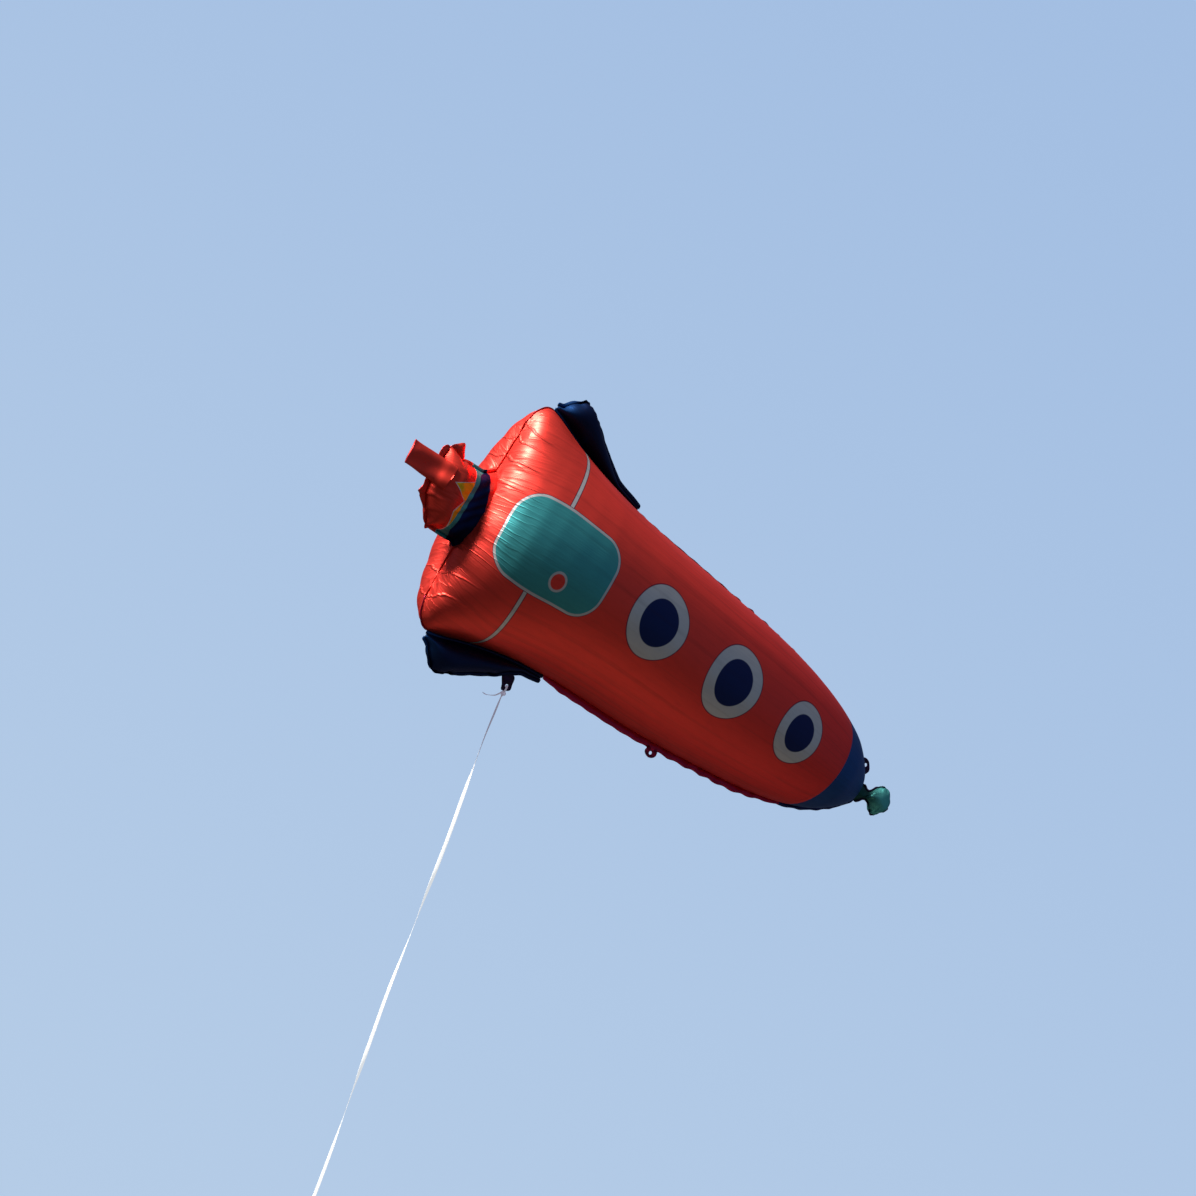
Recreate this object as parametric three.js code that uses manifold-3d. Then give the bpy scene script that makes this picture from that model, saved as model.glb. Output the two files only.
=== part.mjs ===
// A rocket-shaped foil balloon: two printed sheets of metallised film welded along a flat seam,
// with a body, two side fins, a nozzle, a flame, a fill neck, a nose antenna, tie tabs and a ribbon.
// Millimetres. +X is the nose, +Z the upper fin, -Y the printed front. The origin is the centre of
// lift on the rocket's axis, and every x below is measured from the tail seam, towards the nose.
import * as THREE from "three";
import { mergeVertices } from "three/addons/utils/BufferGeometryUtils.js";
import Module from "manifold-3d";

const wasm = await Module();
wasm.setup();

// Driving dimensions.
const LIFT_CENTRE = 340; // from the tail seam to the centre of lift
const WALL = 10; // thickness of the body's two shells
const FILM = 1; // thickness of one sheet at the flat seam
const SPLIT = 0.15; // half the gap between the front and the back sheet
const GAP = 0.3; // gap between neighbouring pieces
const SEAM = 6; // width of the welded edge around the outline
const TAIL_EDGE = 4; // width of the welded edge at the tail
const WELD = 4; // width of the weld between two chambers
const ACROSS = 44; // steps across the body
const SMALL_ARC_STEPS = 10; // steps across one half section of a small chamber

// The body's crown, from the tail seam to the nose: [x, half width, half depth]. Blown up, the
// film bulges out behind its tail seam.
const BODY = [
  [0, 181, 1.5],
  [-4, 181, 10],
  [-7, 182, 24],
  [-5, 182, 38],
  [2, 177, 54],
  [16, 170, 72],
  [38, 160, 90],
  [66, 152.5, 104],
  [100, 145.5, 116],
  [140, 139.5, 125],
  [180, 134.5, 129],
  [250, 129, 132],
  [310, 126, 130],
  [380, 123, 127],
  [450, 119, 122],
  [520, 114, 115],
  [596, 106, 106],
  [640, 100, 100],
  [680, 93, 92],
  [715, 85, 84],
  [745, 76, 75],
  [770, 67, 66],
  [795, 54, 50],
  [815, 41, 36],
  [830, 29, 24],
  [841, 15, 11],
  [846, 3, 1.5],
];
const NOSE_X = 846;
const BULGE_X = -7; // as far back as the tail bulges
const NOSE_LIFT = 4; // how far the nose stands above the axis
const LIFT_FROM = 700; // it rises from this x
const LIFT_TO = 840; // to this one
const TAIL_SPREAD = 150; // along the film, the tail's boxy section turns into an ellipse over this
const GATHERED = 380; // along the film, the side seams are gathered up to here
const CORNER = 34; // radius of the body's tail corners
const CREASES = [-1, -0.9, -0.69, -0.45, -0.2, 0.04, 0.36, 0.6, 0.82, 1]; // across the tail
const LOBE_DEPTH = 9; // of the lobes between those creases
const LOBE_START = 10; // along the film, where the lobes have risen fully
const LOBE_LENGTH = 60; // over which the lobes fade along the film
const LOBE_MEAN = 0.7; // share of the lobe's depth that the crown table already counts

// A fin beside the body: [x, outer edge from the axis, half depth].
const FIN = [
  [28, 181, 1.5],
  [36, 187, 9],
  [45, 196, 14],
  [55, 207, 18],
  [66, 215, 20],
  [78, 214, 21],
  [93, 210, 21],
  [108, 201, 20],
  [128, 192, 18],
  [153, 181, 15],
  [173, 170, 12],
  [191, 157, 9],
  [208, 150, 7],
  [225, 146, 5],
  [244, 137, 1.5],
];
const FIN_TAIL_X = 24;
const FIN_END_X = 250;

// The nozzle behind the tail, the flame behind it, and the antenna:
// [x, half width, half depth, height of the centre].
const NOZZLE = [
  [BULGE_X - 2 * GAP, 53, 26, -1],
  [-18, 52.5, 25.5, -3.5],
  [-30, 52, 25, -5.5],
  [-42 + GAP, 52, 25, -6],
];
const NOZZLE_EDGE = 5; // width of its welded side edges
const FLAME = [
  [-42, 52, 25, -6],
  [-54, 50, 26.5, -5],
  [-65, 46, 26, -4],
  [-72, 41, 23, -1.5],
  [-79, 35.5, 19, 1],
  [-86, 27, 13, 1.5],
  [-92, 15, 1.5, 2],
];
const ANTENNA = [
  [850, 11, 9, 4.5],
  [856, 9, 7, 5],
  [861, 6.5, 5.5, 6],
  [866, 6, 5, 7.5],
  [871, 8, 7, 9],
  [876, 12, 11, 10.5],
  [883, 16, 15, 11.5],
  [891, 17, 16, 11.5],
  [899, 14.5, 14, 11.5],
  [905, 10, 9, 11.5],
  [909, 5, 4, 11.5],
  [911, 2, 1.5, 11.5],
];
const ANTENNA_SEAM = 3;

// The flame's welded outline beyond the nozzle: [x, z], with its spikes and notches.
const FLAME_EDGE = [
  [-42, 51],
  [-50, 53],
  [-58, 61],
  [-64, 62],
  [-67, 55],
  [-76, 53],
  [-81, 58],
  [-87, 52],
  [-86, 45],
  [-97, 40],
  [-99, 32],
  [-102, 22],
  [-102, -14],
  [-105, -21],
  [-107.5, -27],
  [-98, -34],
  [-91, -40],
  [-77, -46],
  [-73, -52],
  [-64, -59],
  [-60, -66],
  [-52, -68],
  [-42, -64],
];

const NECK_X = [-102 - GAP, -149]; // the fill neck, from the flame's edge to its own end
const NECK_Z = 13; // its centre line
const NECK_WIDTH = 34;

// Tie tabs: where each hole is, which way the tab points, and its size.
const TAB_THICKNESS = 2;
const TAB_HOLE_RADIUS = 3.2;
const TABS = [
  { name: "tie_tab_nose", hole: [836, 42], out: [0.5, 0.87], width: 21, length: 24 },
  { name: "tie_tab_belly", hole: [481, -129], out: [0.05, -1], width: 14, length: 18 },
  { name: "tie_tab_fin", hole: [200, -173], out: [0.45, -0.89], width: 18, length: 24 },
];
const TAB_TIP = 6; // from the hole's centre to the tab's outer end

// The ribbon: a flat curling ribbon, held here as a round tube of the ribbon's width.
const RIBBON_WIDTH = 5;
const KNOT_RADIUS = 4.5;
const KNOT_DROP = 11.5; // from the tab's hole down to the knot's centre
const LOOP_RADIUS = 22; // of the hand loop at the ribbon's lower end

const FOIL = { roughness: 0.28, metalness: 0.7 };
const red = new THREE.MeshStandardMaterial({ color: 0xc8372f, ...FOIL });
const navy = new THREE.MeshStandardMaterial({ color: 0x0b1c4a, ...FOIL });
const teal = new THREE.MeshStandardMaterial({ color: 0x3f8f94, ...FOIL });
const orange = new THREE.MeshStandardMaterial({ color: 0xd8452c, ...FOIL });
const violet = new THREE.MeshStandardMaterial({ color: 0x3b1d4d, ...FOIL });
const white = new THREE.MeshStandardMaterial({ color: 0xf0f0ee, roughness: 0.45, metalness: 0 });

const rocket = new THREE.Group();
rocket.position.x = -LIFT_CENTRE;

function piece(name, geometry, material) {
  const mesh = new THREE.Mesh(geometry, material);
  mesh.name = name;
  rocket.add(mesh);
  return mesh;
}

// The value of a table's column at x, on straight lines between its rows.
function at(table, column, x) {
  const rising = table[0][0] < table[table.length - 1][0];
  const rows = rising ? table : [...table].reverse();
  if (x <= rows[0][0]) return rows[0][column];
  for (let i = 1; i < rows.length; i++) {
    const [a, b] = [rows[i - 1], rows[i]];
    if (x <= b[0]) return a[column] + ((b[column] - a[column]) * (x - a[0])) / (b[0] - a[0]);
  }
  return rows[rows.length - 1][column];
}

function toSolid(geometry) {
  const bare = geometry.index ? geometry.toNonIndexed() : geometry.clone();
  bare.deleteAttribute("normal");
  bare.deleteAttribute("uv");
  const merged = mergeVertices(bare, 1e-4);
  const vertProperties = merged.attributes.position.array;
  const triVerts = new Uint32Array(merged.index.array);
  return new wasm.Manifold(new wasm.Mesh({ numProp: 3, vertProperties, triVerts }));
}

function toGeometry(solid) {
  const { vertProperties, triVerts } = solid.getMesh();
  const geometry = new THREE.BufferGeometry();
  geometry.setAttribute("position", new THREE.BufferAttribute(vertProperties, 3));
  geometry.setIndex(new THREE.BufferAttribute(triVerts, 1));
  const faceted = geometry.toNonIndexed();
  faceted.computeVertexNormals();
  return faceted;
}

// A closed skin over rings of [x, y, z] points, each ring lying in a plane of constant x.
function loft(rings) {
  const count = rings[0].length;
  const triangles = [];
  const quad = (a, b, c, d) => triangles.push(a, b, c, a, c, d);
  for (let i = 1; i < rings.length; i++)
    for (let j = 0; j < count; j++) {
      const next = (j + 1) % count;
      quad(rings[i - 1][j], rings[i][j], rings[i][next], rings[i - 1][next]);
    }
  const cap = (ring, flip) => {
    const flat = ring.map(([, y, z]) => new THREE.Vector2(y, z));
    for (const [a, b, c] of THREE.ShapeUtils.triangulateShape(flat, [])) {
      if (flip) triangles.push(ring[a], ring[c], ring[b]);
      else triangles.push(ring[a], ring[b], ring[c]);
    }
  };
  const outline = rings[0].map(([, y, z]) => new THREE.Vector2(y, z));
  const turns = THREE.ShapeUtils.isClockWise(outline);
  cap(rings[0], turns);
  cap(rings[rings.length - 1], !turns);
  return facingOut(triangles);
}

// The triangles as a geometry, turned so that its faces point out.
function facingOut(triangles) {
  const corners = triangles.map((p) => new THREE.Vector3(...p));
  let volume = 0;
  for (let i = 0; i < corners.length; i += 3)
    volume += corners[i].dot(corners[i + 1].clone().cross(corners[i + 2]));
  if (volume < 0)
    for (let i = 0; i < corners.length; i += 3)
      [corners[i + 1], corners[i + 2]] = [corners[i + 2], corners[i + 1]];
  const geometry = new THREE.BufferGeometry().setFromPoints(corners);
  geometry.computeVertexNormals();
  return geometry;
}

// The body's sections, one for each row of the crown: how far along the film it lies, and where
// its side seams are.
const filmRun = BODY.map(() => 0);
for (let i = 1; i < BODY.length; i++)
  filmRun[i] = filmRun[i - 1] + Math.hypot(BODY[i][0] - BODY[i - 1][0], BODY[i][2] - BODY[i - 1][2]);
const crownAt = (run) => {
  const i = Math.max(1, filmRun.findIndex((r) => r >= run));
  const share = (run - filmRun[i - 1]) / (filmRun[i] - filmRun[i - 1]);
  return BODY[i - 1][0] + share * (BODY[i][0] - BODY[i - 1][0]);
};
const BODY_ROWS = BODY.map(([x, halfWidth, halfDepth], i) => {
  const run = filmRun[i];
  const short = Math.max(0, CORNER - run);
  const sideX = run < GATHERED ? (run * crownAt(GATHERED)) / GATHERED : x;
  const half = halfWidth - CORNER + Math.sqrt(CORNER ** 2 - short ** 2);
  return { run, x, sideX, halfWidth: half, halfDepth };
});
const smooth = (t) => t * t * (3 - 2 * t);

// How far the axis has risen at x, towards the nose.
const lift = (x) =>
  NOSE_LIFT * smooth(Math.min(1, Math.max(0, (x - LIFT_FROM) / (LIFT_TO - LIFT_FROM))));

const SIDE = BODY_ROWS.map(({ sideX, halfWidth }) => [sideX, halfWidth, 0, lift(sideX)]);

// Points across one sheet of a body section, from v = -1 to 1. Across, z is the half width times
// sin(90 degrees * v) and the depth follows the cosine. Towards the tail the points lie evenly
// and the depth keeps nearly full out to the corners, sqrt(1 - v ** 4), with lobes |sin|.
function bodyPoints({ run, x, sideX, halfWidth, halfDepth }, side, lobed) {
  const even = 1 - smooth(Math.min(1, run / TAIL_SPREAD));
  const risen = lobed ? smooth(Math.min(1, run / LOBE_START)) : 0;
  const lobes = risen * LOBE_DEPTH * Math.exp(-((run / LOBE_LENGTH) ** 2));
  const points = [];
  for (let i = 0; i <= ACROSS; i++) {
    const v = (2 * i) / ACROSS - 1;
    const turn = (v * Math.PI) / 2;
    const profile = even * Math.sqrt(Math.max(0, 1 - v ** 4)) + (1 - even) * Math.cos(turn);
    const next = Math.max(1, CREASES.findIndex((crease) => crease >= v));
    const phase = (v - CREASES[next - 1]) / (CREASES[next] - CREASES[next - 1]);
    const lobe = lobes * (Math.sin(Math.PI * phase) - LOBE_MEAN);
    const toSide = even * Math.abs(v) ** 6 + (1 - even) * Math.sin(turn) ** 2;
    const along = x + (sideX - x) * toSide;
    points.push([
      along,
      side * (SPLIT + (halfDepth + lobe) * profile),
      lift(along) + halfWidth * (even * v + (1 - even) * Math.sin(turn)),
    ]);
  }
  return points;
}

// One half of a chamber: side is -1 for the front sheet and 1 for the back one. Each section
// runs over half an ellipse from low to high z and closes along the flat split.
function halfChamber(sections, side, steps) {
  const rings = sections.map(({ x, centre, halfWidth, halfDepth }) => {
    const ring = [];
    for (let i = 0; i <= steps; i++) {
      const angle = (Math.PI * i) / steps;
      const y = side * (SPLIT + halfDepth * Math.sin(angle));
      ring.push([x, y, centre - halfWidth * Math.cos(angle)]);
    }
    return ring;
  });
  return loft(rings);
}

// One flat sheet of the seam, from an outline of [x, z] points.
function sheet(outline, side) {
  const shape = new THREE.Shape(outline.map(([x, z]) => new THREE.Vector2(x, z)));
  const geometry = new THREE.ExtrudeGeometry(shape, { depth: FILM, bevelEnabled: false });
  geometry.rotateX(Math.PI / 2);
  geometry.translate(0, side < 0 ? -SPLIT : SPLIT + FILM, 0);
  return geometry;
}

// Both edges of a table's outline, widened by a margin, as [x, z] points.
function bothEdges(table, margin) {
  const upper = table.map(([x, halfWidth, , centre = 0]) => [x, centre + halfWidth + margin(x)]);
  const lower = table.map(([x, halfWidth, , centre = 0]) => [x, centre - halfWidth - margin(x)]);
  return [...upper, ...lower.reverse()];
}

const sectionsOf = (table) =>
  table.map(([x, halfWidth, halfDepth, centre]) => ({ x, centre, halfWidth, halfDepth }));

function bodyPanel(side) {
  const chamber = toSolid(loft(BODY_ROWS.map((row) => bodyPoints(row, side, true))));
  const margin = (x) => (x < FIN_END_X ? WELD : SEAM);
  const beforeFin = [FIN_END_X - GAP, at(SIDE, 1, FIN_END_X)];
  const afterFin = [FIN_END_X, at(SIDE, 1, FIN_END_X)];
  const rows = [...SIDE, beforeFin, afterFin].sort((a, b) => a[0] - b[0]);
  const passage = NOZZLE[0][1] + NOZZLE_EDGE + GAP - NOZZLE[0][3];
  const corner = SIDE[0][1];
  const tailEdge = [
    [-TAIL_EDGE, -corner],
    [-TAIL_EDGE, -passage],
    [0, -passage],
    [0, passage],
    [-TAIL_EDGE, passage],
    [-TAIL_EDGE, corner],
  ];
  const outline = [...tailEdge, ...bothEdges(rows, margin)];
  const cavity = toSolid(loft(hollowRows().map((row) => openSection(row, side))));
  return toGeometry(chamber.add(toSolid(sheet(outline, side))).subtract(cavity));
}

// The body's rows set in by the wall, at right angles to the crown.
function hollowRows() {
  const rows = BODY_ROWS.map((row, i) => {
    const before = BODY_ROWS[Math.max(0, i - 1)];
    const after = BODY_ROWS[Math.min(BODY_ROWS.length - 1, i + 1)];
    const [dx, rise] = [after.x - before.x, after.halfDepth - before.halfDepth];
    const length = Math.hypot(dx, rise);
    const crease = LOBE_MEAN * LOBE_DEPTH * Math.exp(-((row.run / LOBE_LENGTH) ** 2));
    return {
      ...row,
      x: row.x + (WALL * rise) / length,
      sideX: row.sideX + (WALL * rise) / length,
      halfWidth: row.halfWidth - WALL,
      halfDepth: row.halfDepth - (WALL * dx) / length - crease,
    };
  });
  return rows.filter(({ run, halfDepth }) => run > 2 * WALL && halfDepth > WALL);
}

// A section of the body's hollow, which runs through the split so that the shell is open there.
function openSection(row, side) {
  const points = bodyPoints(row, side, false);
  const [first, last] = [points[0], points[ACROSS]];
  return [[first[0], -side * WALL, first[2]], ...points, [last[0], -side * WALL, last[2]]];
}

// The outer edge of a fin's weld, widened by a margin: swept a little towards the tail.
function finOuter(up, margin) {
  return FIN.map(([x, reach]) => [x - SEAM / 2, up * (reach + margin)]);
}

function finPanel(side, up) {
  const inner = (x) => at(SIDE, 1, x) + WELD + GAP;
  const sections = FIN.map(([x, reach, halfDepth]) => {
    const low = inner(x) + FILM;
    const halfWidth = Math.max((reach - low) / 2, 0.5);
    return { x, centre: up * (low + halfWidth), halfWidth, halfDepth };
  });
  const end = FIN_END_X - 1;
  const between = SIDE.map(([x]) => x).filter((x) => x > FIN_TAIL_X && x < end);
  const inside = [end, ...between.reverse(), FIN_TAIL_X].map((x) => [x, up * inner(x)]);
  const outline = [...finOuter(up, SEAM), [end, up * (inner(end) + 1)], ...inside];
  const chamber = toSolid(halfChamber(sections, side, SMALL_ARC_STEPS));
  return toGeometry(chamber.add(toSolid(sheet(outline, side))));
}

function chamberWithSeam(table, outline, side) {
  const chamber = toSolid(halfChamber(sectionsOf(table), side, SMALL_ARC_STEPS));
  return toGeometry(chamber.add(toSolid(sheet(outline, side))));
}

for (const [face, side] of [
  ["front", -1],
  ["back", 1],
]) {
  piece("body_" + face, bodyPanel(side), red);
  piece("fin_upper_" + face, finPanel(side, 1), navy);
  piece("fin_lower_" + face, finPanel(side, -1), navy);
  const nozzleEdge = bothEdges([[-GAP, ...NOZZLE[0].slice(1)], ...NOZZLE], () => NOZZLE_EDGE);
  piece("nozzle_" + face, chamberWithSeam(NOZZLE, nozzleEdge, side), teal);
  piece("flame_" + face, chamberWithSeam(FLAME, FLAME_EDGE, side), orange);
  const antennaEdge = bothEdges(ANTENNA, () => ANTENNA_SEAM);
  const antennaRoot = [
    [NOSE_X + GAP, ANTENNA[0][3] - ANTENNA[0][1]],
    [NOSE_X + GAP, ANTENNA[0][3] + ANTENNA[0][1]],
  ];
  piece("antenna_" + face, chamberWithSeam(ANTENNA, [...antennaRoot, ...antennaEdge], side), teal);
  const half = NECK_WIDTH / 2;
  const neck = [
    [NECK_X[0], NECK_Z + half],
    [NECK_X[0], NECK_Z - half],
    [NECK_X[1], NECK_Z - half],
    [NECK_X[1], NECK_Z + half],
  ];
  piece("fill_neck_" + face, sheet(neck, side), orange);
}

// A slab over an outline of [x, z] points, thick enough to cut a tab right through.
function slab(outline) {
  const shape = new THREE.Shape(outline.map(([x, z]) => new THREE.Vector2(x, z)));
  const depth = 3 * TAB_THICKNESS;
  const geometry = new THREE.ExtrudeGeometry(shape, { depth, bevelEnabled: false });
  return toSolid(geometry.rotateX(Math.PI / 2).translate(0, depth / 2, 0));
}

// A tab, drawn with its hole at the origin and pointing along +Y, then set in place and cut
// back to the welded edge that it grows from.
function tabGeometry({ hole: [x, z], out, width, length }, edge) {
  const half = width / 2;
  const shape = new THREE.Shape();
  shape.moveTo(half, TAB_TIP - length);
  shape.lineTo(half, 0);
  shape.absellipse(0, 0, half, TAB_TIP, 0, Math.PI, false);
  shape.lineTo(-half, TAB_TIP - length);
  shape.holes.push(new THREE.Path().absarc(0, 0, TAB_HOLE_RADIUS, 0, 2 * Math.PI, true));
  const options = { depth: TAB_THICKNESS, bevelEnabled: false, curveSegments: 8 };
  const geometry = new THREE.ExtrudeGeometry(shape, options);
  geometry.translate(0, 0, -TAB_THICKNESS / 2);
  // The drawing's X, Y and Z lie along the seam, out of it and through it.
  const outward = new THREE.Vector3(out[0], 0, out[1]).normalize();
  const through = new THREE.Vector3(0, 1, 0);
  const along = new THREE.Vector3().crossVectors(outward, through);
  geometry.applyMatrix4(new THREE.Matrix4().makeBasis(along, outward, through));
  geometry.translate(x, 0, z);
  return toGeometry(toSolid(geometry).subtract(slab(edge)));
}

const bodyEdge = bothEdges(SIDE, () => SEAM + GAP);
const finEdge = [...finOuter(-1, SEAM + GAP), [FIN_END_X, 0], [FIN_TAIL_X, 0]];
for (const tab of TABS)
  piece(tab.name, tabGeometry(tab, tab.name === "tie_tab_fin" ? finEdge : bodyEdge), violet);

// The ribbon's route from its knot to its hand loop, in the tail's own measure.
const [holeX, holeZ] = TABS[2].hole;
const knotAt = new THREE.Vector3(holeX + 1, 0, holeZ - KNOT_DROP);
const ROUTE = [
  [0, 0, -5],
  [4, 0, -28],
  [9, -1, -62],
  [17, -2, -102],
  [26, -3, -146],
  [37, -3, -192],
  [48, -2, -240],
  [59, 0, -290],
  [70, 1, -340],
  [80, 2, -390],
  [90, 2, -440],
  [101, 1, -490],
  [112, 0, -540],
  [123, -1, -590],
  [134, -2, -640],
  [145, -2, -690],
  [156, -1, -740],
  [166, 0, -788],
  [174, 0, -828],
].map(([x, y, z]) => new THREE.Vector3(x, y, z).add(knotAt));

function tube(points, radius, sides, steps) {
  const path = new THREE.CatmullRomCurve3(points);
  const section = new THREE.Shape();
  for (let i = 0; i < sides; i++) {
    const angle = (2 * Math.PI * i) / sides;
    const [x, y] = [radius * Math.cos(angle), radius * Math.sin(angle)];
    if (i) section.lineTo(x, y);
    else section.moveTo(x, y);
  }
  section.closePath();
  return new THREE.ExtrudeGeometry(section, { steps, extrudePath: path, bevelEnabled: false });
}

piece("ribbon", tube(ROUTE, RIBBON_WIDTH / 2, 8, 70), white);

const knotBall = new THREE.SphereGeometry(KNOT_RADIUS, 12, 8).translate(...knotAt);
const eye = new THREE.TorusGeometry(KNOT_DROP / 2, 1.2, 8, 20);
eye.rotateY(Math.PI / 2);
eye.translate(holeX + 0.5, 0, holeZ - KNOT_DROP / 2 + 0.4);
piece("ribbon_knot", toGeometry(toSolid(knotBall).add(toSolid(eye))), white);

const SHORT_END = [
  [-4.8, 0, -1],
  [-12, -1, 1],
  [-20, -2, 0],
  [-27, -3, -4],
  [-33, -3, -9],
].map(([x, y, z]) => new THREE.Vector3(x, y, z).add(knotAt));
piece("ribbon_short_end", tube(SHORT_END, RIBBON_WIDTH / 2, 8, 6), white);

// The hand loop: a ring below a second knot.
const loopKnot = ROUTE[ROUTE.length - 1].clone().add(new THREE.Vector3(1, 0, -5));
const loopKnotBall = new THREE.SphereGeometry(KNOT_RADIUS, 12, 8).translate(...loopKnot);
const ring = new THREE.TorusGeometry(LOOP_RADIUS, 1.5, 8, 28);
ring.rotateX(Math.PI / 2);
ring.translate(loopKnot.x, loopKnot.y, loopKnot.z - LOOP_RADIUS - 2);
piece("ribbon_hand_loop", toGeometry(toSolid(loopKnotBall).add(toSolid(ring))), white);

export default rocket;
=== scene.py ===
"""A rocket-shaped foil balloon that floats on a curling ribbon. Its chambers are blown up as cloth."""

import bpy
import numpy as np
from mathutils import Matrix, Vector


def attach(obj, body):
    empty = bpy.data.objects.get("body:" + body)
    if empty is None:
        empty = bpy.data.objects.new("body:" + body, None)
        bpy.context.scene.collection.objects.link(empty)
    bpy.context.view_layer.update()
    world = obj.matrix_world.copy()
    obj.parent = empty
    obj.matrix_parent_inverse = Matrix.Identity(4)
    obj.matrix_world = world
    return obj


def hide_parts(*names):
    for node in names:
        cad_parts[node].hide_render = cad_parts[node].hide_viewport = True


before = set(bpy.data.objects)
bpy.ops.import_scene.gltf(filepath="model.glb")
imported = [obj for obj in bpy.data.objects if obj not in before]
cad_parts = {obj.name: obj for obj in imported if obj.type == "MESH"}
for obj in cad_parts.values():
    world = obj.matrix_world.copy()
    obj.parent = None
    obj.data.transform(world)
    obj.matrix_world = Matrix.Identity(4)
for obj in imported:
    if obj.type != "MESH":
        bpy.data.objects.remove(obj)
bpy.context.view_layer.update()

MM = 0.001
LIFT_CENTRE = 0.340  # from the tail seam to the centre of lift, which is the frame's origin
SEED = 4

CAMERA_AT = Vector((-7.5687, -9.4029, -1.86))
CAMERA_RIGHT = Vector((0.63026, -0.59976, 0.49301))
CAMERA_UP = Vector((-0.47289, 0.20707, 0.85644))
CAMERA_BACK = CAMERA_RIGHT.cross(CAMERA_UP)
SENSOR_WIDTH = 36
FOCAL_PER_WIDTH = 7.3529
FLOOR_Z = -1.9
FLOOR_HALF = 60
SKY_LOW = (0.47, 0.61, 0.80)
SKY_MIDDLE = (0.36, 0.51, 0.76)
SKY_HIGH = (0.80, 0.86, 0.98)
LIGHT_SHARE = 0.30  # of the backdrop's brightness that falls on the balloon
KEY_AT = Vector((-0.80, 0.22, 0.56)) * 3.2
KEY_TOWARDS = Vector((-0.2, 0, 0))
KEY_SIZE, KEY_POWER, KEY_SPREAD = 1.0, 17, 40  # metres, watts and degrees
KEY_COLOUR = (1.0, 0.95, 0.88)


def link(obj):
    bpy.context.scene.collection.objects.link(obj)
    return obj


def make_camera():
    data = bpy.data.cameras.new("camera")
    data.sensor_width = SENSOR_WIDTH
    data.lens = SENSOR_WIDTH * FOCAL_PER_WIDTH
    data.clip_end = 200
    camera = link(bpy.data.objects.new("camera", data))
    turn = Matrix((CAMERA_RIGHT, CAMERA_UP, CAMERA_BACK)).transposed().to_4x4()
    camera.matrix_world = Matrix.Translation(CAMERA_AT) @ turn
    bpy.context.scene.camera = camera


def make_key_light():
    data = bpy.data.lights.new("key", "AREA")
    data.shape = "DISK"
    data.size = KEY_SIZE
    data.energy = KEY_POWER
    data.spread = np.radians(KEY_SPREAD)
    data.color = KEY_COLOUR
    lamp = link(bpy.data.objects.new("key", data))
    lamp.location = KEY_AT
    lamp.rotation_euler = (KEY_TOWARDS - KEY_AT).to_track_quat("-Z", "Y").to_euler()


def make_sky():
    """A backdrop coloured by height. The camera sees all of its brightness, the balloon only a share."""
    world = bpy.data.worlds.new("sky")
    bpy.context.scene.world = world
    world.use_nodes = True
    tree = world.node_tree
    background = tree.nodes["Background"]
    direction = node(tree, "ShaderNodeTexCoord", {}, {}, 0)
    height = node(tree, "ShaderNodeSeparateXYZ", {}, {0: direction}, 2)
    low = mix(SKY_LOW, SKY_MIDDLE, height.steps(0.02, 0.28))
    sky = mix(low, SKY_HIGH, height.steps(0.25, 0.95))
    tree.links.new(sky.socket, background.inputs[0])
    seen = node(tree, "ShaderNodeLightPath", {}, {}, 0)
    tree.links.new((LIGHT_SHARE + seen * (1 - LIGHT_SHARE)).socket, background.inputs[1])


class Sum:
    """A number or colour in a material. Arithmetic on it adds the nodes that work it out."""

    def __init__(self, tree, socket):
        self.tree, self.socket = tree, socket

    def math(operation):
        def work_out(self, *others):
            sockets = dict(enumerate((self, *others)))
            return node(self.tree, "ShaderNodeMath", {"operation": operation}, sockets)

        return work_out

    __add__ = __radd__ = math("ADD")
    __sub__, __mul__, __abs__ = math("SUBTRACT"), math("MULTIPLY"), math("ABSOLUTE")
    most, root, wave = math("MAXIMUM"), math("SQRT"), math("SINE")
    multiply_add = math("MULTIPLY_ADD")

    def __rsub__(self, other):
        return self.multiply_add(-1.0, other)

    def steps(self, start, end):
        """0 up to start and 1 from end, on a smooth ramp."""
        settings = {"interpolation_type": "SMOOTHSTEP"}
        return node(self.tree, "ShaderNodeMapRange", settings, {0: self, 1: start, 2: end})

    def over(self, edge, blur=0.0005):
        """0 below the edge and 1 above it, with a soft border of blur to each side."""
        return self.steps(edge - blur, edge + blur)

    def under(self, edge, blur=0.0004):
        return 1 - self.over(edge, blur)


def node(tree, kind, settings, sockets, output=0):
    """Any node: its settings first, then the values or links of its sockets."""
    made = tree.nodes.new(kind)
    for key, value in settings.items():
        setattr(made, key, value)
    for key, value in sockets.items():
        if isinstance(value, Sum):
            tree.links.new(value.socket, made.inputs[key])
        else:
            made.inputs[key].default_value = value
    return Sum(tree, made.outputs[output])


def mix(low, high, share):
    """Colour low where share is 0 and colour high where it is 1."""
    low, high = (c if isinstance(c, Sum) else (*c, 1.0) for c in (low, high))
    return node(share.tree, "ShaderNodeMix", {"data_type": "RGBA"}, {0: share, 6: low, 7: high}, 2)


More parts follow.
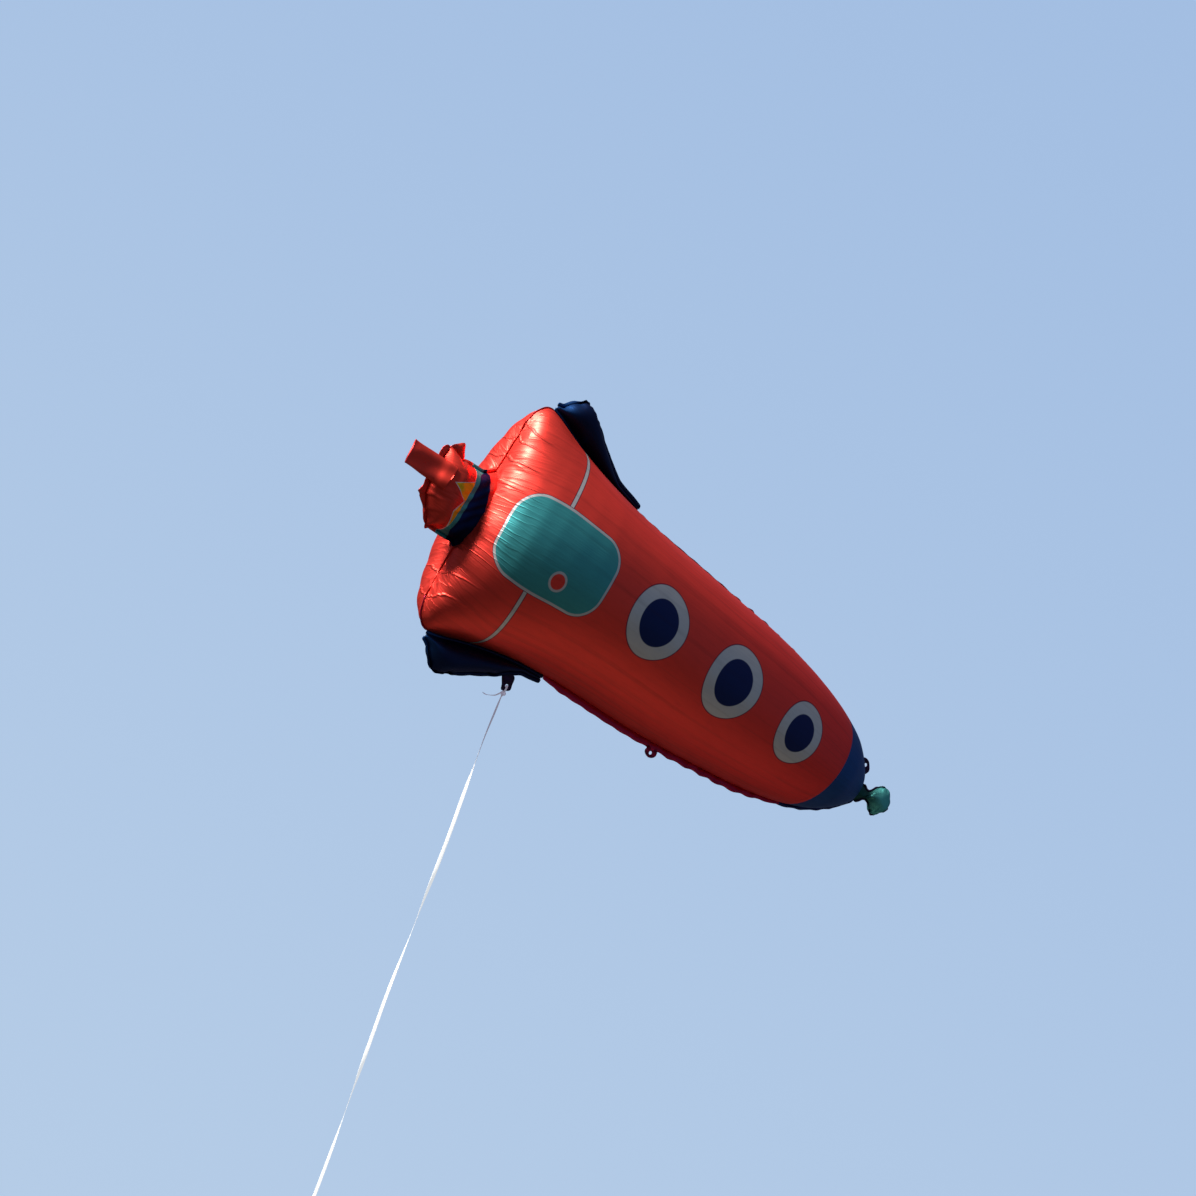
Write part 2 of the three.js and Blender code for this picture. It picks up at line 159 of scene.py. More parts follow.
class Finish:
    """A material under construction, with the socket sums that its print is made of."""

    def __init__(self, name, **constants):
        self.material = bpy.data.materials.new(name)
        self.material.use_nodes = True
        self.tree = self.material.node_tree
        self.shader = self.tree.nodes["Principled BSDF"]
        for key, value in constants.items():
            self.shader.inputs[key.replace("_", " ")].default_value = value

    def set(self, key, value):
        self.tree.links.new(value.socket, self.shader.inputs[key])

    def coords(self, attribute=None):
        """The three numbers of an attribute, or of the Object coordinates."""
        self.place = (
            node(self.tree, "ShaderNodeAttribute", {"attribute_name": attribute}, {}, 1)
            if attribute else node(self.tree, "ShaderNodeTexCoord", {}, {}, 3)
        )
        return [node(self.tree, "ShaderNodeSeparateXYZ", {}, {0: self.place}, i) for i in range(3)]

    def noise(self, scale, detail, stretch=None):
        """Noise of about 0.5 at the coordinates asked for last."""
        vector = self.place
        if stretch:
            vector = node(self.tree, "ShaderNodeMapping", {}, {0: vector, 3: stretch})
        sockets = {"Vector": vector, "Scale": scale, "Detail": detail}
        return node(self.tree, "ShaderNodeTexNoise", {}, sockets)

    def bump(self, height, strength, distance):
        sockets = {"Height": height, "Strength": strength, "Distance": distance}
        self.set("Normal", node(self.tree, "ShaderNodeBump", {}, sockets))

    def other_sheen(self, share, **constants):
        """Where share is 1, the same print and surface with other constants, in a second shader."""
        second = self.tree.nodes.new("ShaderNodeBsdfPrincipled")
        for socket, twin in zip(self.shader.inputs, second.inputs):
            if socket.is_linked:
                self.tree.links.new(socket.links[0].from_socket, twin)
            elif socket.type in ("VALUE", "RGBA"):
                twin.default_value = socket.default_value
        for key, value in constants.items():
            second.inputs[key.replace("_", " ")].default_value = value
        both = self.tree.nodes.new("ShaderNodeMixShader")
        self.tree.links.new(share.socket, both.inputs[0])
        self.tree.links.new(self.shader.outputs[0], both.inputs[1])
        self.tree.links.new(second.outputs[0], both.inputs[2])
        self.tree.links.new(both.outputs[0], self.tree.nodes["Material Output"].inputs["Surface"])


# Meshes

PATH_STEPS = 40  # for each given point of a smooth path, before it is spaced evenly


def mesh_piece(name, points, faces, finish):
    """A surface from an array of points and an array or list of faces, riding on the balloon."""
    data = bpy.data.meshes.new(name)
    data.from_pydata(np.asarray(points, float).tolist(), [], [list(map(int, f)) for f in faces])
    data.update()
    data.polygons.foreach_set("use_smooth", np.full(len(data.polygons), True))
    data.materials.append(finish)
    piece = link(bpy.data.objects.new(name, data))
    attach(piece, "root")
    return piece


def subdivide(obj):
    modifier = obj.modifiers.new("finer", "SUBSURF")
    modifier.levels = modifier.render_levels = 1


def grid_faces(rows, columns, around=False, along=False):
    """The quads of a grid of points, joined up around its columns or along its rows where asked."""
    i = np.arange(rows if along else rows - 1)[:, None]
    j = np.arange(columns if around else columns - 1)[None, :]
    k, m = (i + 1) % rows, (j + 1) % columns
    corners = [i * columns + j, i * columns + m, k * columns + m, k * columns + j]
    return np.stack(np.broadcast_arrays(*corners), -1).reshape(-1, 4)


def smooth_path(points, count):
    """Points at even distances on a smooth curve through the given ones (a Catmull-Rom spline)."""
    p = np.asarray(points, float)
    p = np.vstack([2 * p[0] - p[1], p, 2 * p[-1] - p[-2]])
    t = np.linspace(0, len(p) - 3, PATH_STEPS * len(p), endpoint=True)
    i = np.minimum(t.astype(int), len(p) - 4)
    f = (t - i)[:, None]
    a, b, c, d = p[i], p[i + 1], p[i + 2], p[i + 3]
    fine = 0.5 * (2 * b + (c - a) * f + (2 * a - 5 * b + 4 * c - d) * f**2 + (3 * b - a - 3 * c + d) * f**3)
    run = np.concatenate([[0], np.cumsum(np.linalg.norm(np.diff(fine, axis=0), axis=1))])
    even = np.linspace(0, run[-1], count)
    return np.stack([np.interp(even, run, fine[:, k]) for k in range(3)], 1)


def unit(vectors):
    return vectors / np.linalg.norm(vectors, axis=-1, keepdims=True)


def crosswise(path, across):
    """Unit directions across a path and through it, at right angles to each other."""
    forward = unit(np.gradient(path, axis=0))
    across = unit(across - (across * forward).sum(1, keepdims=True) * forward)
    return across, np.cross(forward, across)


def sweep(path, across, half_width, half_thickness, sides=10):
    """A flat oval section carried along a path, with both ends closed.
    Point = path + half_width * cos(angle) * across + half_thickness * sin(angle) * through."""
    across, through = crosswise(path, across)
    angle = np.linspace(0, 2 * np.pi, sides, endpoint=False)
    wide = (half_width * np.ones(len(path)))[:, None, None]
    thick = (half_thickness * np.ones(len(path)))[:, None, None]
    ring = path[:, None] + wide * np.cos(angle)[None, :, None] * across[:, None]
    ring = ring + thick * np.sin(angle)[None, :, None] * through[:, None]
    faces = grid_faces(len(path), sides, around=True)[:, ::-1].tolist()
    first, last = list(range(sides)), [(len(path) - 1) * sides + k for k in range(sides)]
    return ring.reshape(-1, 3), faces + [first, last[::-1]]


def joined(one, other):
    """The points and faces of two surfaces, as one."""
    return np.vstack([one[0], other[0]]), one[1] + [[k + len(one[0]) for k in f] for f in other[1]]


# Ribbon

TAIL = np.array([-LIFT_CENTRE, 0, 0])
FIN_TAB_HOLE = TAIL + np.array([200, 0, -173]) * MM
KNOT_AT = FIN_TAB_HOLE + np.array([1, 0, -11.5]) * MM
RIBBON_WIDTH = 5 * MM
RIBBON_HALF_DEPTH = 0.35 * MM
RIBBON_POINTS, BAND_SIDES = 260, 12
# mm from the knot
ROUTE = np.array([
    [0, 0, -5], [4, 0, -28], [9, -1, -62], [17, -2, -102], [26, -3, -146], [37, -3, -192], [48, -2, -240],
    [59, 0, -290], [70, 1, -340], [80, 2, -390], [90, 2, -440], [101, 1, -490], [112, 0, -540],
    [123, -1, -590], [134, -2, -640], [145, -2, -690], [156, -1, -740], [166, 0, -788], [174, 0, -828],
])
# how far the ribbon has turned about its own length: share of the length, degrees from facing the camera
TWIST = np.array([
    [0, 55], [0.04, 62], [0.08, 80], [0.115, 92], [0.15, 140], [0.19, 172], [0.30, 185], [0.38, 260],
    [0.42, 276], [0.50, 330], [0.62, 355], [0.68, 430], [0.73, 452], [0.80, 510], [1, 540],
])
SHORT_END = np.array([[-4.8, 0, -2], [-11, -1, -8], [-18, -1, -12], [-26, -2, -15], [-33, -3, -16]])
END_HALF_WIDTH = 2.3 * MM
END_TWIST = (60, 105)  # degrees, from the knot to its cut end
KNOT_SIZE, KNOT_TWIST = 1.35, 60  # mm and degrees
KNOT_BAND = (1.5 * MM, 0.7 * MM)  # half width and half depth of the ribbon, pulled together in a knot
EYE = np.array([1.0, 2.8, 6.2]) * MM  # half spans of the eye that passes through the tab's hole
EYE_RISE = np.array([0, 0, 0.6]) * MM
EYE_BAND = (1.6 * MM, 0.5 * MM)
LOOP_RADIUS, LOOP_BREADTH = 22 * MM, 0.85  # the breadth to each side is a share of the radius
LOOP_SWAY, LOOP_HALF_WIDTH = 3 * MM, 2.4 * MM
LOOP_DROP = np.array([0, 0, -1.5 * MM])  # from the middle of its knot
END_POINTS, EYE_POINTS, KNOT_POINTS, LOOP_POINTS = 50, 41, 91, 101


def turned(path, facing, degrees):
    """Across the ribbon: at right angles to its path and to the facing direction, turned by degrees."""
    forward = unit(np.gradient(path, axis=0))
    flat = unit(np.cross(forward, facing))
    front = np.cross(flat, forward)
    a = np.radians(degrees)[:, None]
    return flat * np.cos(a) + front * np.sin(a)


def trefoil(centre, order, facing):
    """A knot. Its three coordinates, in the order given, are sin t + 2 sin 2t, cos t - 2 cos 2t and
    -1.2 sin 3t."""
    t = np.linspace(0, 2 * np.pi, KNOT_POINTS)
    curl = np.stack([np.sin(t) + 2 * np.sin(2 * t), np.cos(t) - 2 * np.cos(2 * t), -1.2 * np.sin(3 * t)], 1)
    path = centre + curl[:, order] * KNOT_SIZE * MM
    return sweep(path, turned(path, np.array(facing), KNOT_TWIST * np.sin(t)), *KNOT_BAND)


def make_ribbon(finish):
    path = smooth_path(KNOT_AT + ROUTE * MM, RIBBON_POINTS)
    share = np.linspace(0, 1, len(path))
    facing = np.array(CAMERA_BACK)
    across = turned(path, facing, np.interp(share, *TWIST.T))
    width = RIBBON_WIDTH / 2 * np.interp(share, [0, 0.02, 1], [0.5, 1, 1])  # pulled together at the knot
    band = sweep(path, across, width, RIBBON_HALF_DEPTH, BAND_SIDES)
    ribbon = mesh_piece("ribbon_strip", *band, finish)
    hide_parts("ribbon")

    a = np.linspace(0, 2 * np.pi, EYE_POINTS)
    eye_path = (FIN_TAB_HOLE + KNOT_AT) / 2 + EYE_RISE + EYE * np.stack([np.sin(a), np.sin(a), np.cos(a)], 1)
    eye = sweep(eye_path, np.tile([1.0, 0, 0], (EYE_POINTS, 1)), *EYE_BAND)
    tied = joined(trefoil(KNOT_AT, [2, 0, 1], [1.0, 0.2, 0.3]), eye)
    knot = mesh_piece("ribbon_knot_tied", *tied, finish)
    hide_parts("ribbon_knot")

    end_path = smooth_path(KNOT_AT + SHORT_END * MM, END_POINTS)
    end_across = turned(end_path, facing, np.linspace(*END_TWIST, END_POINTS))
    end = sweep(end_path, end_across, END_HALF_WIDTH, RIBBON_HALF_DEPTH, BAND_SIDES)
    short_end = mesh_piece("ribbon_curled_end", *end, finish)
    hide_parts("ribbon_short_end")

    # the hand loop: a drop shape, wider below, hanging from a second knot
    loop_knot = KNOT_AT + (ROUTE[-1] + np.array([1, 0, -5])) * MM
    b = np.linspace(0, 2 * np.pi, LOOP_POINTS)
    to_side = LOOP_RADIUS * LOOP_BREADTH * np.sin(b) * np.sin(b / 2)
    drop = np.stack([to_side, LOOP_SWAY * np.sin(2 * b), LOOP_RADIUS * (np.cos(b) - 1)], 1)
    loop_across = np.tile([0.1, 1.0, 0.05], (LOOP_POINTS, 1))
    ring = sweep(loop_knot + LOOP_DROP + drop, loop_across, LOOP_HALF_WIDTH, RIBBON_HALF_DEPTH, BAND_SIDES)
    hand = joined(ring, trefoil(loop_knot, [0, 2, 1], [0.2, 1.0, 0.3]))
    loop = mesh_piece("ribbon_loop_tied", *hand, finish)
    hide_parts("ribbon_hand_loop")


# The flat pattern: u runs from the tail seam to the nose, z across it from the axis

SEAM = 6 * MM  # the welded edge around the outline
TAIL_SEAM = 2.5 * MM  # at the tail
LOW_SEAM = 11 * MM  # and along the lower side, past the fin
WELD = 5 * MM  # the weld between the body and a fin
CORNER = 42 * MM  # radius of the body's tail corners
FLAT_LENGTH = 0.950
# the blown-up body: mm from the tail seam, half width, half depth
BODY = np.array([
    [0, 175, 0], [-3, 175, 10], [-5, 176, 22], [-3, 177, 38], [4, 174, 54], [17, 168, 72], [38, 160, 90],
    [66, 152.5, 104], [100, 145.5, 116], [140, 139.5, 125], [180, 134.5, 129], [250, 129, 132],
    [310, 126, 130], [380, 123, 127], [450, 119, 122], [520, 114, 115], [596, 106, 106], [640, 100, 100],
    [680, 93, 92], [715, 85, 84], [745, 76, 75], [770, 67, 66], [795, 54, 50], [815, 41, 36],
    [830, 29, 24], [841, 15, 11], [846, 3, 0],
]) * MM
NOZZLE_HALF = 70 * MM  # half width of the passage into the nozzle
NOZZLE_LENGTH = 44 * MM
# along the nozzle (0 to 1) and the flame (1 to 2): half depth and place from the tail seam
NOZZLE_DEPTH = np.array([
    [0, 27, 0], [0.35, 23, -15], [0.7, 23, -29], [1, 24, -42], [1.1, 25, -48], [1.3, 27, -60],
    [1.5, 24, -71], [1.7, 18, -82], [1.85, 11, -90], [2, 0, -96],
])
NOZZLE_DEPTH[:, 1:] *= MM
NOZZLE_EDGE = 5 * MM  # width of the nozzle's and the flame's lower welded edge
FLAME_ROWS, CUT_ROWS = 9, 3
BLOWN_WIDTH = 0.86  # of the nozzle's flat width
NOZZLE_SAG = 6 * MM
# the flame's weld and its cut edge: mm across, mm beyond the nozzle
FLAME_WELD = np.array([
    [-74, 14], [-60, 30], [-44, 46], [-24, 60], [0, 66], [30, 65], [46, 63], [60, 58], [74, 50],
]) * MM
FLAME_CUT = np.array([
    [-74, 18], [-62, 38], [-50, 46], [-36, 64], [-26, 75], [-14, 71], [0, 76], [30, 76], [42, 73], [54, 72],
    [62, 68], [74, 56],
]) * MM
# spikes on the upper edge: share along the nozzle and flame, mm beyond the weld
FLAME_SPIKES = np.array([[0, 5], [1.0, 5], [1.3, 6], [1.55, 9], [1.78, 22], [1.9, 9], [2, 4]])
# a fin: mm along, mm beyond the weld, and what the lower fin has more
FIN = np.array([
    [36, 3], [44, 8], [53, 18], [67, 43], [80, 58], [96, 67], [114, 70], [133, 66], [158, 54], [190, 37],
    [215, 23], [238, 12], [260, 9], [282, 7], [308, 3],
]) * MM
LOW_FIN = np.array([[36, 0], [60, 6], [120, 3], [160, 9], [215, 17], [245, 8], [262, 0]]) * MM
FIN_COLUMNS = 13
FIN_BLOWN_WIDTH, FIN_BLOWN_DEPTH = 0.68, 0.42  # of its flat width
BODY_ROW, BODY_COLUMN, FINE_COLUMN = 6.5 * MM, 7 * MM, 3.6 * MM
FIRST_ROWS = [0, 0.0022]
FINE_HALF = 92 * MM  # finer columns this far each side of the middle, where the puckers are small
MOUTH = 28 * MM  # half depth of the body's film where it opens into the nozzle
ENDS = [0, -1]
SIDES = (slice(None), ENDS)
IN_PLANE = np.array([1, 0, 1])
SINGLE = ("weld", "tail_edge", "body_edge", "fin_edge", "nozzle_edge", "flame_edge", "antenna_edge")


def gently(values, spread):
    """A running mean with a bell-shaped weight, its ends continued on straight lines."""
    k = np.exp(-0.5 * (np.arange(-3 * spread, 3 * spread + 1) / spread) ** 2)
    return np.convolve(np.pad(values, 3 * spread, mode="reflect", reflect_type="odd"), k / k.sum(), "valid")


def quarter_ellipse(a, b):
    """The length of a quarter of an ellipse with half axes a and b, by Ramanujan's formula."""
    h = ((a - b) / (a + b)) ** 2
    return np.pi / 4 * (a + b) * (1 + 3 * h / (10 + np.sqrt(4 - 3 * h)))


# tables along the crown at each millimetre: the crown's arc length gives u, the place on the flat pattern
crown = np.concatenate([[0], np.cumsum(np.hypot(np.diff(BODY[:, 0]), np.diff(BODY[:, 2])))])
stretch = FLAT_LENGTH / crown[-1]
U = np.arange(0, FLAT_LENGTH + MM / 2, MM)
X_CROWN = gently(np.interp(U / stretch, crown, BODY[:, 0]), 5)
HALF_WIDTH = gently(np.interp(U / stretch, crown, BODY[:, 1]), 8)
HALF_DEPTH = np.interp(U / stretch, crown, BODY[:, 2])
# half width of the flat pattern: an ellipse's quarter, but widths of its own where the tail is boxy
ellipse = quarter_ellipse(HALF_WIDTH, HALF_DEPTH)
boxy = np.interp(U, [0, 0.05, 0.1, 0.2], [0.190, 0.203, 0.206, ellipse[200]])
FLAT_HALF = gently(np.where(U < 0.2, boxy, ellipse), 12)

# the side seam is drawn in evenly from the tail to the end of the fins, and keeps the crown's x past it
GATHERED = 0.38
X_SIDE = np.where(U < GATHERED, U * np.interp(GATHERED, U, X_CROWN) / GATHERED, X_CROWN)
BOXY_LENGTH = 0.15  # along the film, the tail's boxy section turns into an ellipse over this
# the tail seam's creases, as shares of its half width, and how far the lobes between them stand out
CREASES = np.array([-1.0, -0.9, -0.69, -0.45, -0.2, 0.04, 0.36, 0.6, 0.82, 1.0])
LOBE_DEPTH = 7 * MM
LOBE_START, LOBE_FADE = 0.010, 0.05  # along the film
LOBE_MEAN = 0.75  # share of the lobes that the half depths above already count
NOSE_LIFT = 4 * MM  # how far the nose stands above the axis
LIFT_FROM, LIFT_TO = 0.400, 0.600
SEAM_FOLD = 1.9 * MM  # height of the folds that the side seams lie in, which makes their film longer
FOLD_FROM, FOLD_TO = 0.44, 0.54
TAIL_GATHER = 0.05  # share of extra film along the tail seam
GATHER_FADE = 0.03
SLACK = 0.999  # of the blown-up length that the film has at rest, so that the gas keeps it taut


def flat_half(u):
    """Half width of the flat body at u, with a rounded corner at the tail."""
    inset = CORNER - np.sqrt(np.clip(CORNER**2 - np.clip(CORNER - u, 0, None) ** 2, 0, None))
    return np.interp(u, U, FLAT_HALF) - inset


def ramp(x, start, end):
    """0 up to start and 1 from end, on a smooth curve."""
    t = np.clip((x - start) / (end - start), 0, 1)
    return t * t * (3 - 2 * t)


def fade(u, reach):
    """1 at the tail seam, fading along the film as exp(-(u / reach) ** 2)."""
    return np.exp(-((u / reach) ** 2))


def blown(u, v):
    """Where a point of the body's front sheet goes when it is blown up, from u along and v = -1 to 1 across.
    Across, z = half width * sin(v * 90 degrees) and the depth follows the cosine; towards the tail seam the
    points lie evenly and the depth keeps nearly full out to the corners, sqrt(1 - v**4), in lobes |sin|.
    Along, x follows the crown in the middle and the drawn-in length at the side seam."""
    half = np.interp(u, U, HALF_WIDTH) * flat_half(u) / np.interp(u, U, FLAT_HALF)
    even = 1 - ramp(u, 0.0, BOXY_LENGTH)
    turn = v * np.pi / 2
    z = half * (even * v + (1 - even) * np.sin(turn))
    profile = even * np.sqrt(np.clip(1 - v**4, 0, 1)) + (1 - even) * np.cos(turn)
    y = np.interp(u, U, HALF_DEPTH) * profile
    lobes = np.abs(np.sin(np.pi * np.interp(v, CREASES, np.arange(len(CREASES)))))
    y = y + LOBE_DEPTH * fade(u, LOBE_FADE) * ramp(u, 0, LOBE_START) * (lobes - LOBE_MEAN) * profile
    x = np.interp(u, U, X_CROWN)
    side = even * np.abs(v) ** 6 + (1 - even) * np.sin(turn) ** 2
    x = x + (np.interp(u, U, X_SIDE) - x) * side
    return np.stack([x, -y, z + NOSE_LIFT * ramp(x, LIFT_FROM, LIFT_TO)], -1)


class Pattern:
    """Patches of film on the flat pattern, each a grid of points with its place when blown up. Points that
    share a place on the pattern and a sheet become one: sheet -1 is the front, 1 the back, 0 a weld."""

    JOIN = 2e5  # steps to a metre: points that fall on the same step are one

    def __init__(self):
        self.patches = []

    def add(self, part, u, z, place, welded, hold, both=True, rest=None):
        """hold is how strongly the points are guided to their place. rest is where they lie when nothing
        pulls on the film: on the flat pattern if not given."""
        rest = np.stack([u, 0 * u, z], -1) if rest is None else rest
        for sheet in (-1, 1) if both else (0,):
            there = place * np.array([1, -sheet if sheet else 0, 1])
            there[..., 1] = np.where(welded, 0, there[..., 1])
            held = np.round(hold * np.ones_like(u), 2)
            lying = rest * np.array([1, -sheet if sheet else 1, 1])
            self.patches.append((part, u, z, there, np.where(welded, 0, sheet), sheet, held, lying))

    def join(self):
        keys, flat, place, hold, rest, faces, parts, start = [], [], [], [], [], [], [], 0
        self.names = sorted({p[0] for p in self.patches})
        for part, u, z, there, layer, sheet, held, lying in self.patches:
            steps = np.stack([np.round(u * self.JOIN), np.round(z * self.JOIN), layer], -1)
            keys.append(steps.reshape(-1, 3).astype(int))
            flat.append(np.stack([u, layer * 1.0, z], -1).reshape(-1, 3))
            place.append(there.reshape(-1, 3))
            hold.append(held.ravel())
            rest.append(lying.reshape(-1, 3))
            quads = grid_faces(*u.shape)
            if sheet > 0:
                quads = quads[:, ::-1]
            faces.append(quads + start)
            parts.append(np.full(len(quads), self.names.index(part)))
            start += u.size
        keys, first, back = np.unique(np.concatenate(keys), axis=0, return_index=True, return_inverse=True)
        self.flat, self.place = np.concatenate(flat)[first], np.concatenate(place)[first]
        self.hold, self.rest = np.concatenate(hold)[first], np.concatenate(rest)[first]
        self.faces = back.ravel()[np.concatenate(faces)]
        self.parts = np.concatenate(parts)


def strip(pattern, part, u, z, place, out, width, hold, rest, rows=1):
    """A welded strip beside an edge: out is the flat direction away from the chamber. It and the width are
    given for each point of the edge, or once."""
    out, width = out * np.ones((len(u), 2)), (width * np.ones(len(u)))[:, None]
    step = np.linspace(0, 1, rows + 1)
    uu = u[:, None] + out[:, :1] * width * step
    zz = z[:, None] + out[:, 1:] * width * step
    away = np.stack([out[:, 0], 0 * out[:, 0], out[:, 1]], 1)
    reach = away[:, None] * (width * step)[..., None]
    place, rest = place[:, None] + reach, rest[:, None] + reach
    pattern.add(part, uu, zz, place, np.ones_like(uu, bool), hold, False, rest)


def outward(u, z, flip):
    """Unit directions at right angles to a line of flat points, towards the outside."""
    along = unit(np.stack([np.gradient(u), np.gradient(z)], 1))
    return np.stack([along[:, 1], -along[:, 0]], 1) * flip


def framed(shape, *borders):
    """A grid of False with the given rows and columns set."""
    grid = np.zeros(shape, bool)
    for border in borders:
        grid[border] = True
    return grid


def body_grid():
    """The rows along the body and the columns across it, from -1 to 1."""
    rows = np.concatenate([FIRST_ROWS, np.linspace(0.0065, FLAT_LENGTH, int(FLAT_LENGTH / BODY_ROW))])
    fine = int(FINE_HALF / FINE_COLUMN)
    coarse = int((FLAT_HALF.max() - FINE_HALF) / BODY_COLUMN)
    middle = np.linspace(0, FINE_HALF / FLAT_HALF.max(), fine + 1)
    half_columns = np.concatenate([middle, np.linspace(middle[-1], 1, coarse + 1)[1:]])
    return rows, np.concatenate([-half_columns[:0:-1], half_columns])


def add_body(pattern, rows, columns, is_open):
    """The body, whose two sheets stay open into the nozzle. Returns its points' places and rest places."""
    v, u = np.meshgrid(columns, rows)
    z = flat_half(u) * v
    place = blown(u, v)
    nozzle_half = (flat_half(0.0) * columns[is_open]).max()
    mouth = MOUTH * np.sqrt(np.clip(1 - (z / nozzle_half) ** 2, 0, 1)) * fade(u, 0.03)
    place[..., 1] = np.minimum(place[..., 1] - 2 * MM, -mouth)
    rest = blown(u, v) * SLACK
    rest[..., 2] *= 1 + TAIL_GATHER * fade(u, GATHER_FADE)
    folds = SEAM_FOLD * np.array([0, 1, 0, -1])[np.arange(len(rows)) % 4] * ramp(rows, FOLD_FROM, FOLD_TO)
    rest[:, ENDS, 1] += folds[:, None]
    welded = framed(u.shape, SIDES, -1)
    shut = ~is_open
    shut[np.flatnonzero(is_open)[ENDS]] = True
    welded[0] = shut
    pattern.add("body", u, z, place, welded, 0.5 + 0.16 * fade(u, 0.05), rest=rest)
    return place, rest


def add_nozzle_and_flame(pattern, nozzle_z, body_edge, body_rest):
    """The nozzle and the flame behind it, over the columns of the body's open edge."""
    beyond = NOZZLE_LENGTH + np.interp(nozzle_z, *FLAME_WELD.T)
    nozzle_rows = int(round(NOZZLE_LENGTH / BODY_ROW))
    share = np.concatenate([np.linspace(0, 1, nozzle_rows + 1), 1 + np.linspace(0, 1, FLAME_ROWS + 1)[1:]])
    s, nz = np.meshgrid(share, nozzle_z, indexing="ij")
    nu = -np.where(s < 1, s * NOZZLE_LENGTH, NOZZLE_LENGTH + (s - 1) * (beyond - NOZZLE_LENGTH)[None, :])
    deepest = np.interp(s, NOZZLE_DEPTH[:, 0], NOZZLE_DEPTH[:, 1])
    deep = deepest * np.sqrt(np.clip(1 - (nz / nozzle_z.max()) ** 4, 0, 1))
    back_to = np.interp(s, NOZZLE_DEPTH[:, 0], NOZZLE_DEPTH[:, 2])
    short = (beyond - NOZZLE_LENGTH) / (beyond - NOZZLE_LENGTH).max()
    back_to = np.where(s > 1, back_to[nozzle_rows] + (back_to - back_to[nozzle_rows]) * short, back_to)
    height = nz * BLOWN_WIDTH - NOZZLE_SAG * ramp(-nu, 0, 0.03)
    follow = 1 - ramp(-nu, 0, 0.02)
    height = height * (1 - follow) + body_edge[None, :, 2] * follow
    there = np.stack([back_to, -deep - MM * (s < 2), height], -1)
    welded = framed(nu.shape, SIDES, -1)
    lying = np.stack([nu, 0 * nu, body_rest[:, 2] + 0 * nu], -1)
    parts = (("nozzle", slice(0, nozzle_rows + 1)), ("flame", slice(nozzle_rows, None)))
    for part, own in parts:
        pattern.add(part, nu[own], nz[own], there[own], welded[own], 0.5, rest=lying[own])
    # the side edges, the upper one with its spikes
    for side, out, width in (
        (0, (0.0, -1.0), np.full(len(share), NOZZLE_EDGE)),
        (-1, (0.0, 1.0), np.interp(share, *FLAME_SPIKES.T) * MM),
    ):
        for part, own in parts:
            rim = nu[own, side], nz[own, side], there[own, side]
            strip(pattern, part + "_edge", *rim, out, width[own], 0.35, lying[own, side])
    # the cut end
    reach = np.interp(nozzle_z, *FLAME_CUT.T) + NOZZLE_LENGTH - beyond
    strip(pattern, "flame_edge", nu[-1], nz[-1], there[-1], (-1.0, 0.0), reach, 0.3, lying[-1], CUT_ROWS)


def add_fin(pattern, side, fu, reach, edge, lying):
    """A fin and the weld that joins it to the body's side seam, on the upper side (1) or the lower (-1)."""
    strip(pattern, "weld", fu, side * reach, edge, (0.0, float(side)), WELD, 0.45, lying)
    wide = (np.interp(fu, *FIN.T) + (np.interp(fu, *LOW_FIN.T) if side < 0 else 0))[:, None]
    q = np.linspace(0, 1, FIN_COLUMNS)
    fz = side * ((reach + WELD)[:, None] + wide * q)
    fuu = np.repeat(fu[:, None], len(q), 1)
    depth = FIN_BLOWN_DEPTH * wide * np.sqrt(np.sin(np.pi * q))[None] + MM
    rise = np.stack([0 * fz, -depth, side * FIN_BLOWN_WIDTH * wide * (1 - np.cos(np.pi * q)) / 2], -1)
    place = edge[:, None] + np.array([0, 0, side * WELD]) + rise
    spread = lying[:, None] + np.stack([0 * fz, 0 * fz, side * (WELD + wide * q)], -1)
    welded = framed(fz.shape, SIDES, ENDS)
    pattern.add("fin_upper" if side > 0 else "fin_lower", fuu, fz, place, welded, 0.45, rest=spread)
    out = outward(fu, fz[:, -1], -side)
    strip(pattern, "fin_edge", fu, fz[:, -1], place[:, -1] * IN_PLANE, out, SEAM, 0.35, spread[:, -1])


def rocket_pattern():
    pattern = Pattern()
    rows, columns = body_grid()
    is_open = np.abs(flat_half(0.0) * columns) <= NOZZLE_HALF
    place, rest = add_body(pattern, rows, columns, is_open)
    add_nozzle_and_flame(pattern, flat_half(0.0) * columns[is_open], place[0, is_open], rest[0, is_open])
    # the tail's welded edge on each side of the nozzle
    for half in (columns <= columns[is_open][0], columns >= columns[is_open][-1]):
        z, edge = flat_half(0.0) * columns[half], place[0, half] * IN_PLANE
        strip(pattern, "tail_edge", 0 * z, z, edge, (-1.0, 0.0), TAIL_SEAM, 0.4, rest[0, half])
    for side, column in ((-1, 0), (1, -1)):
        edge, lying, reach = place[:, column] * IN_PLANE, rest[:, column], flat_half(rows)
        along = (rows >= FIN[0, 0]) & (rows <= FIN[-1, 0])
        add_fin(pattern, side, rows[along], reach[along], edge[along], lying[along])
        # the body's own edge before and past the fin
        for free in (rows <= rows[along][0], rows >= rows[along][-1]):
            out = outward(rows, side * reach, -side)[free]
            extra = LOW_SEAM - SEAM if side < 0 else 0
            broad = SEAM + extra * ramp(rows[free], 0.30, 0.36) * (1 - ramp(rows[free], 0.70, 0.80))
            broad = TAIL_SEAM + (broad - TAIL_SEAM) * ramp(rows[free], 0.03, 0.06)
            line = rows[free], side * reach[free], edge[free]
            strip(pattern, "body_edge", *line, out, broad, 0.35, lying[free])
    pattern.join()
    return pattern


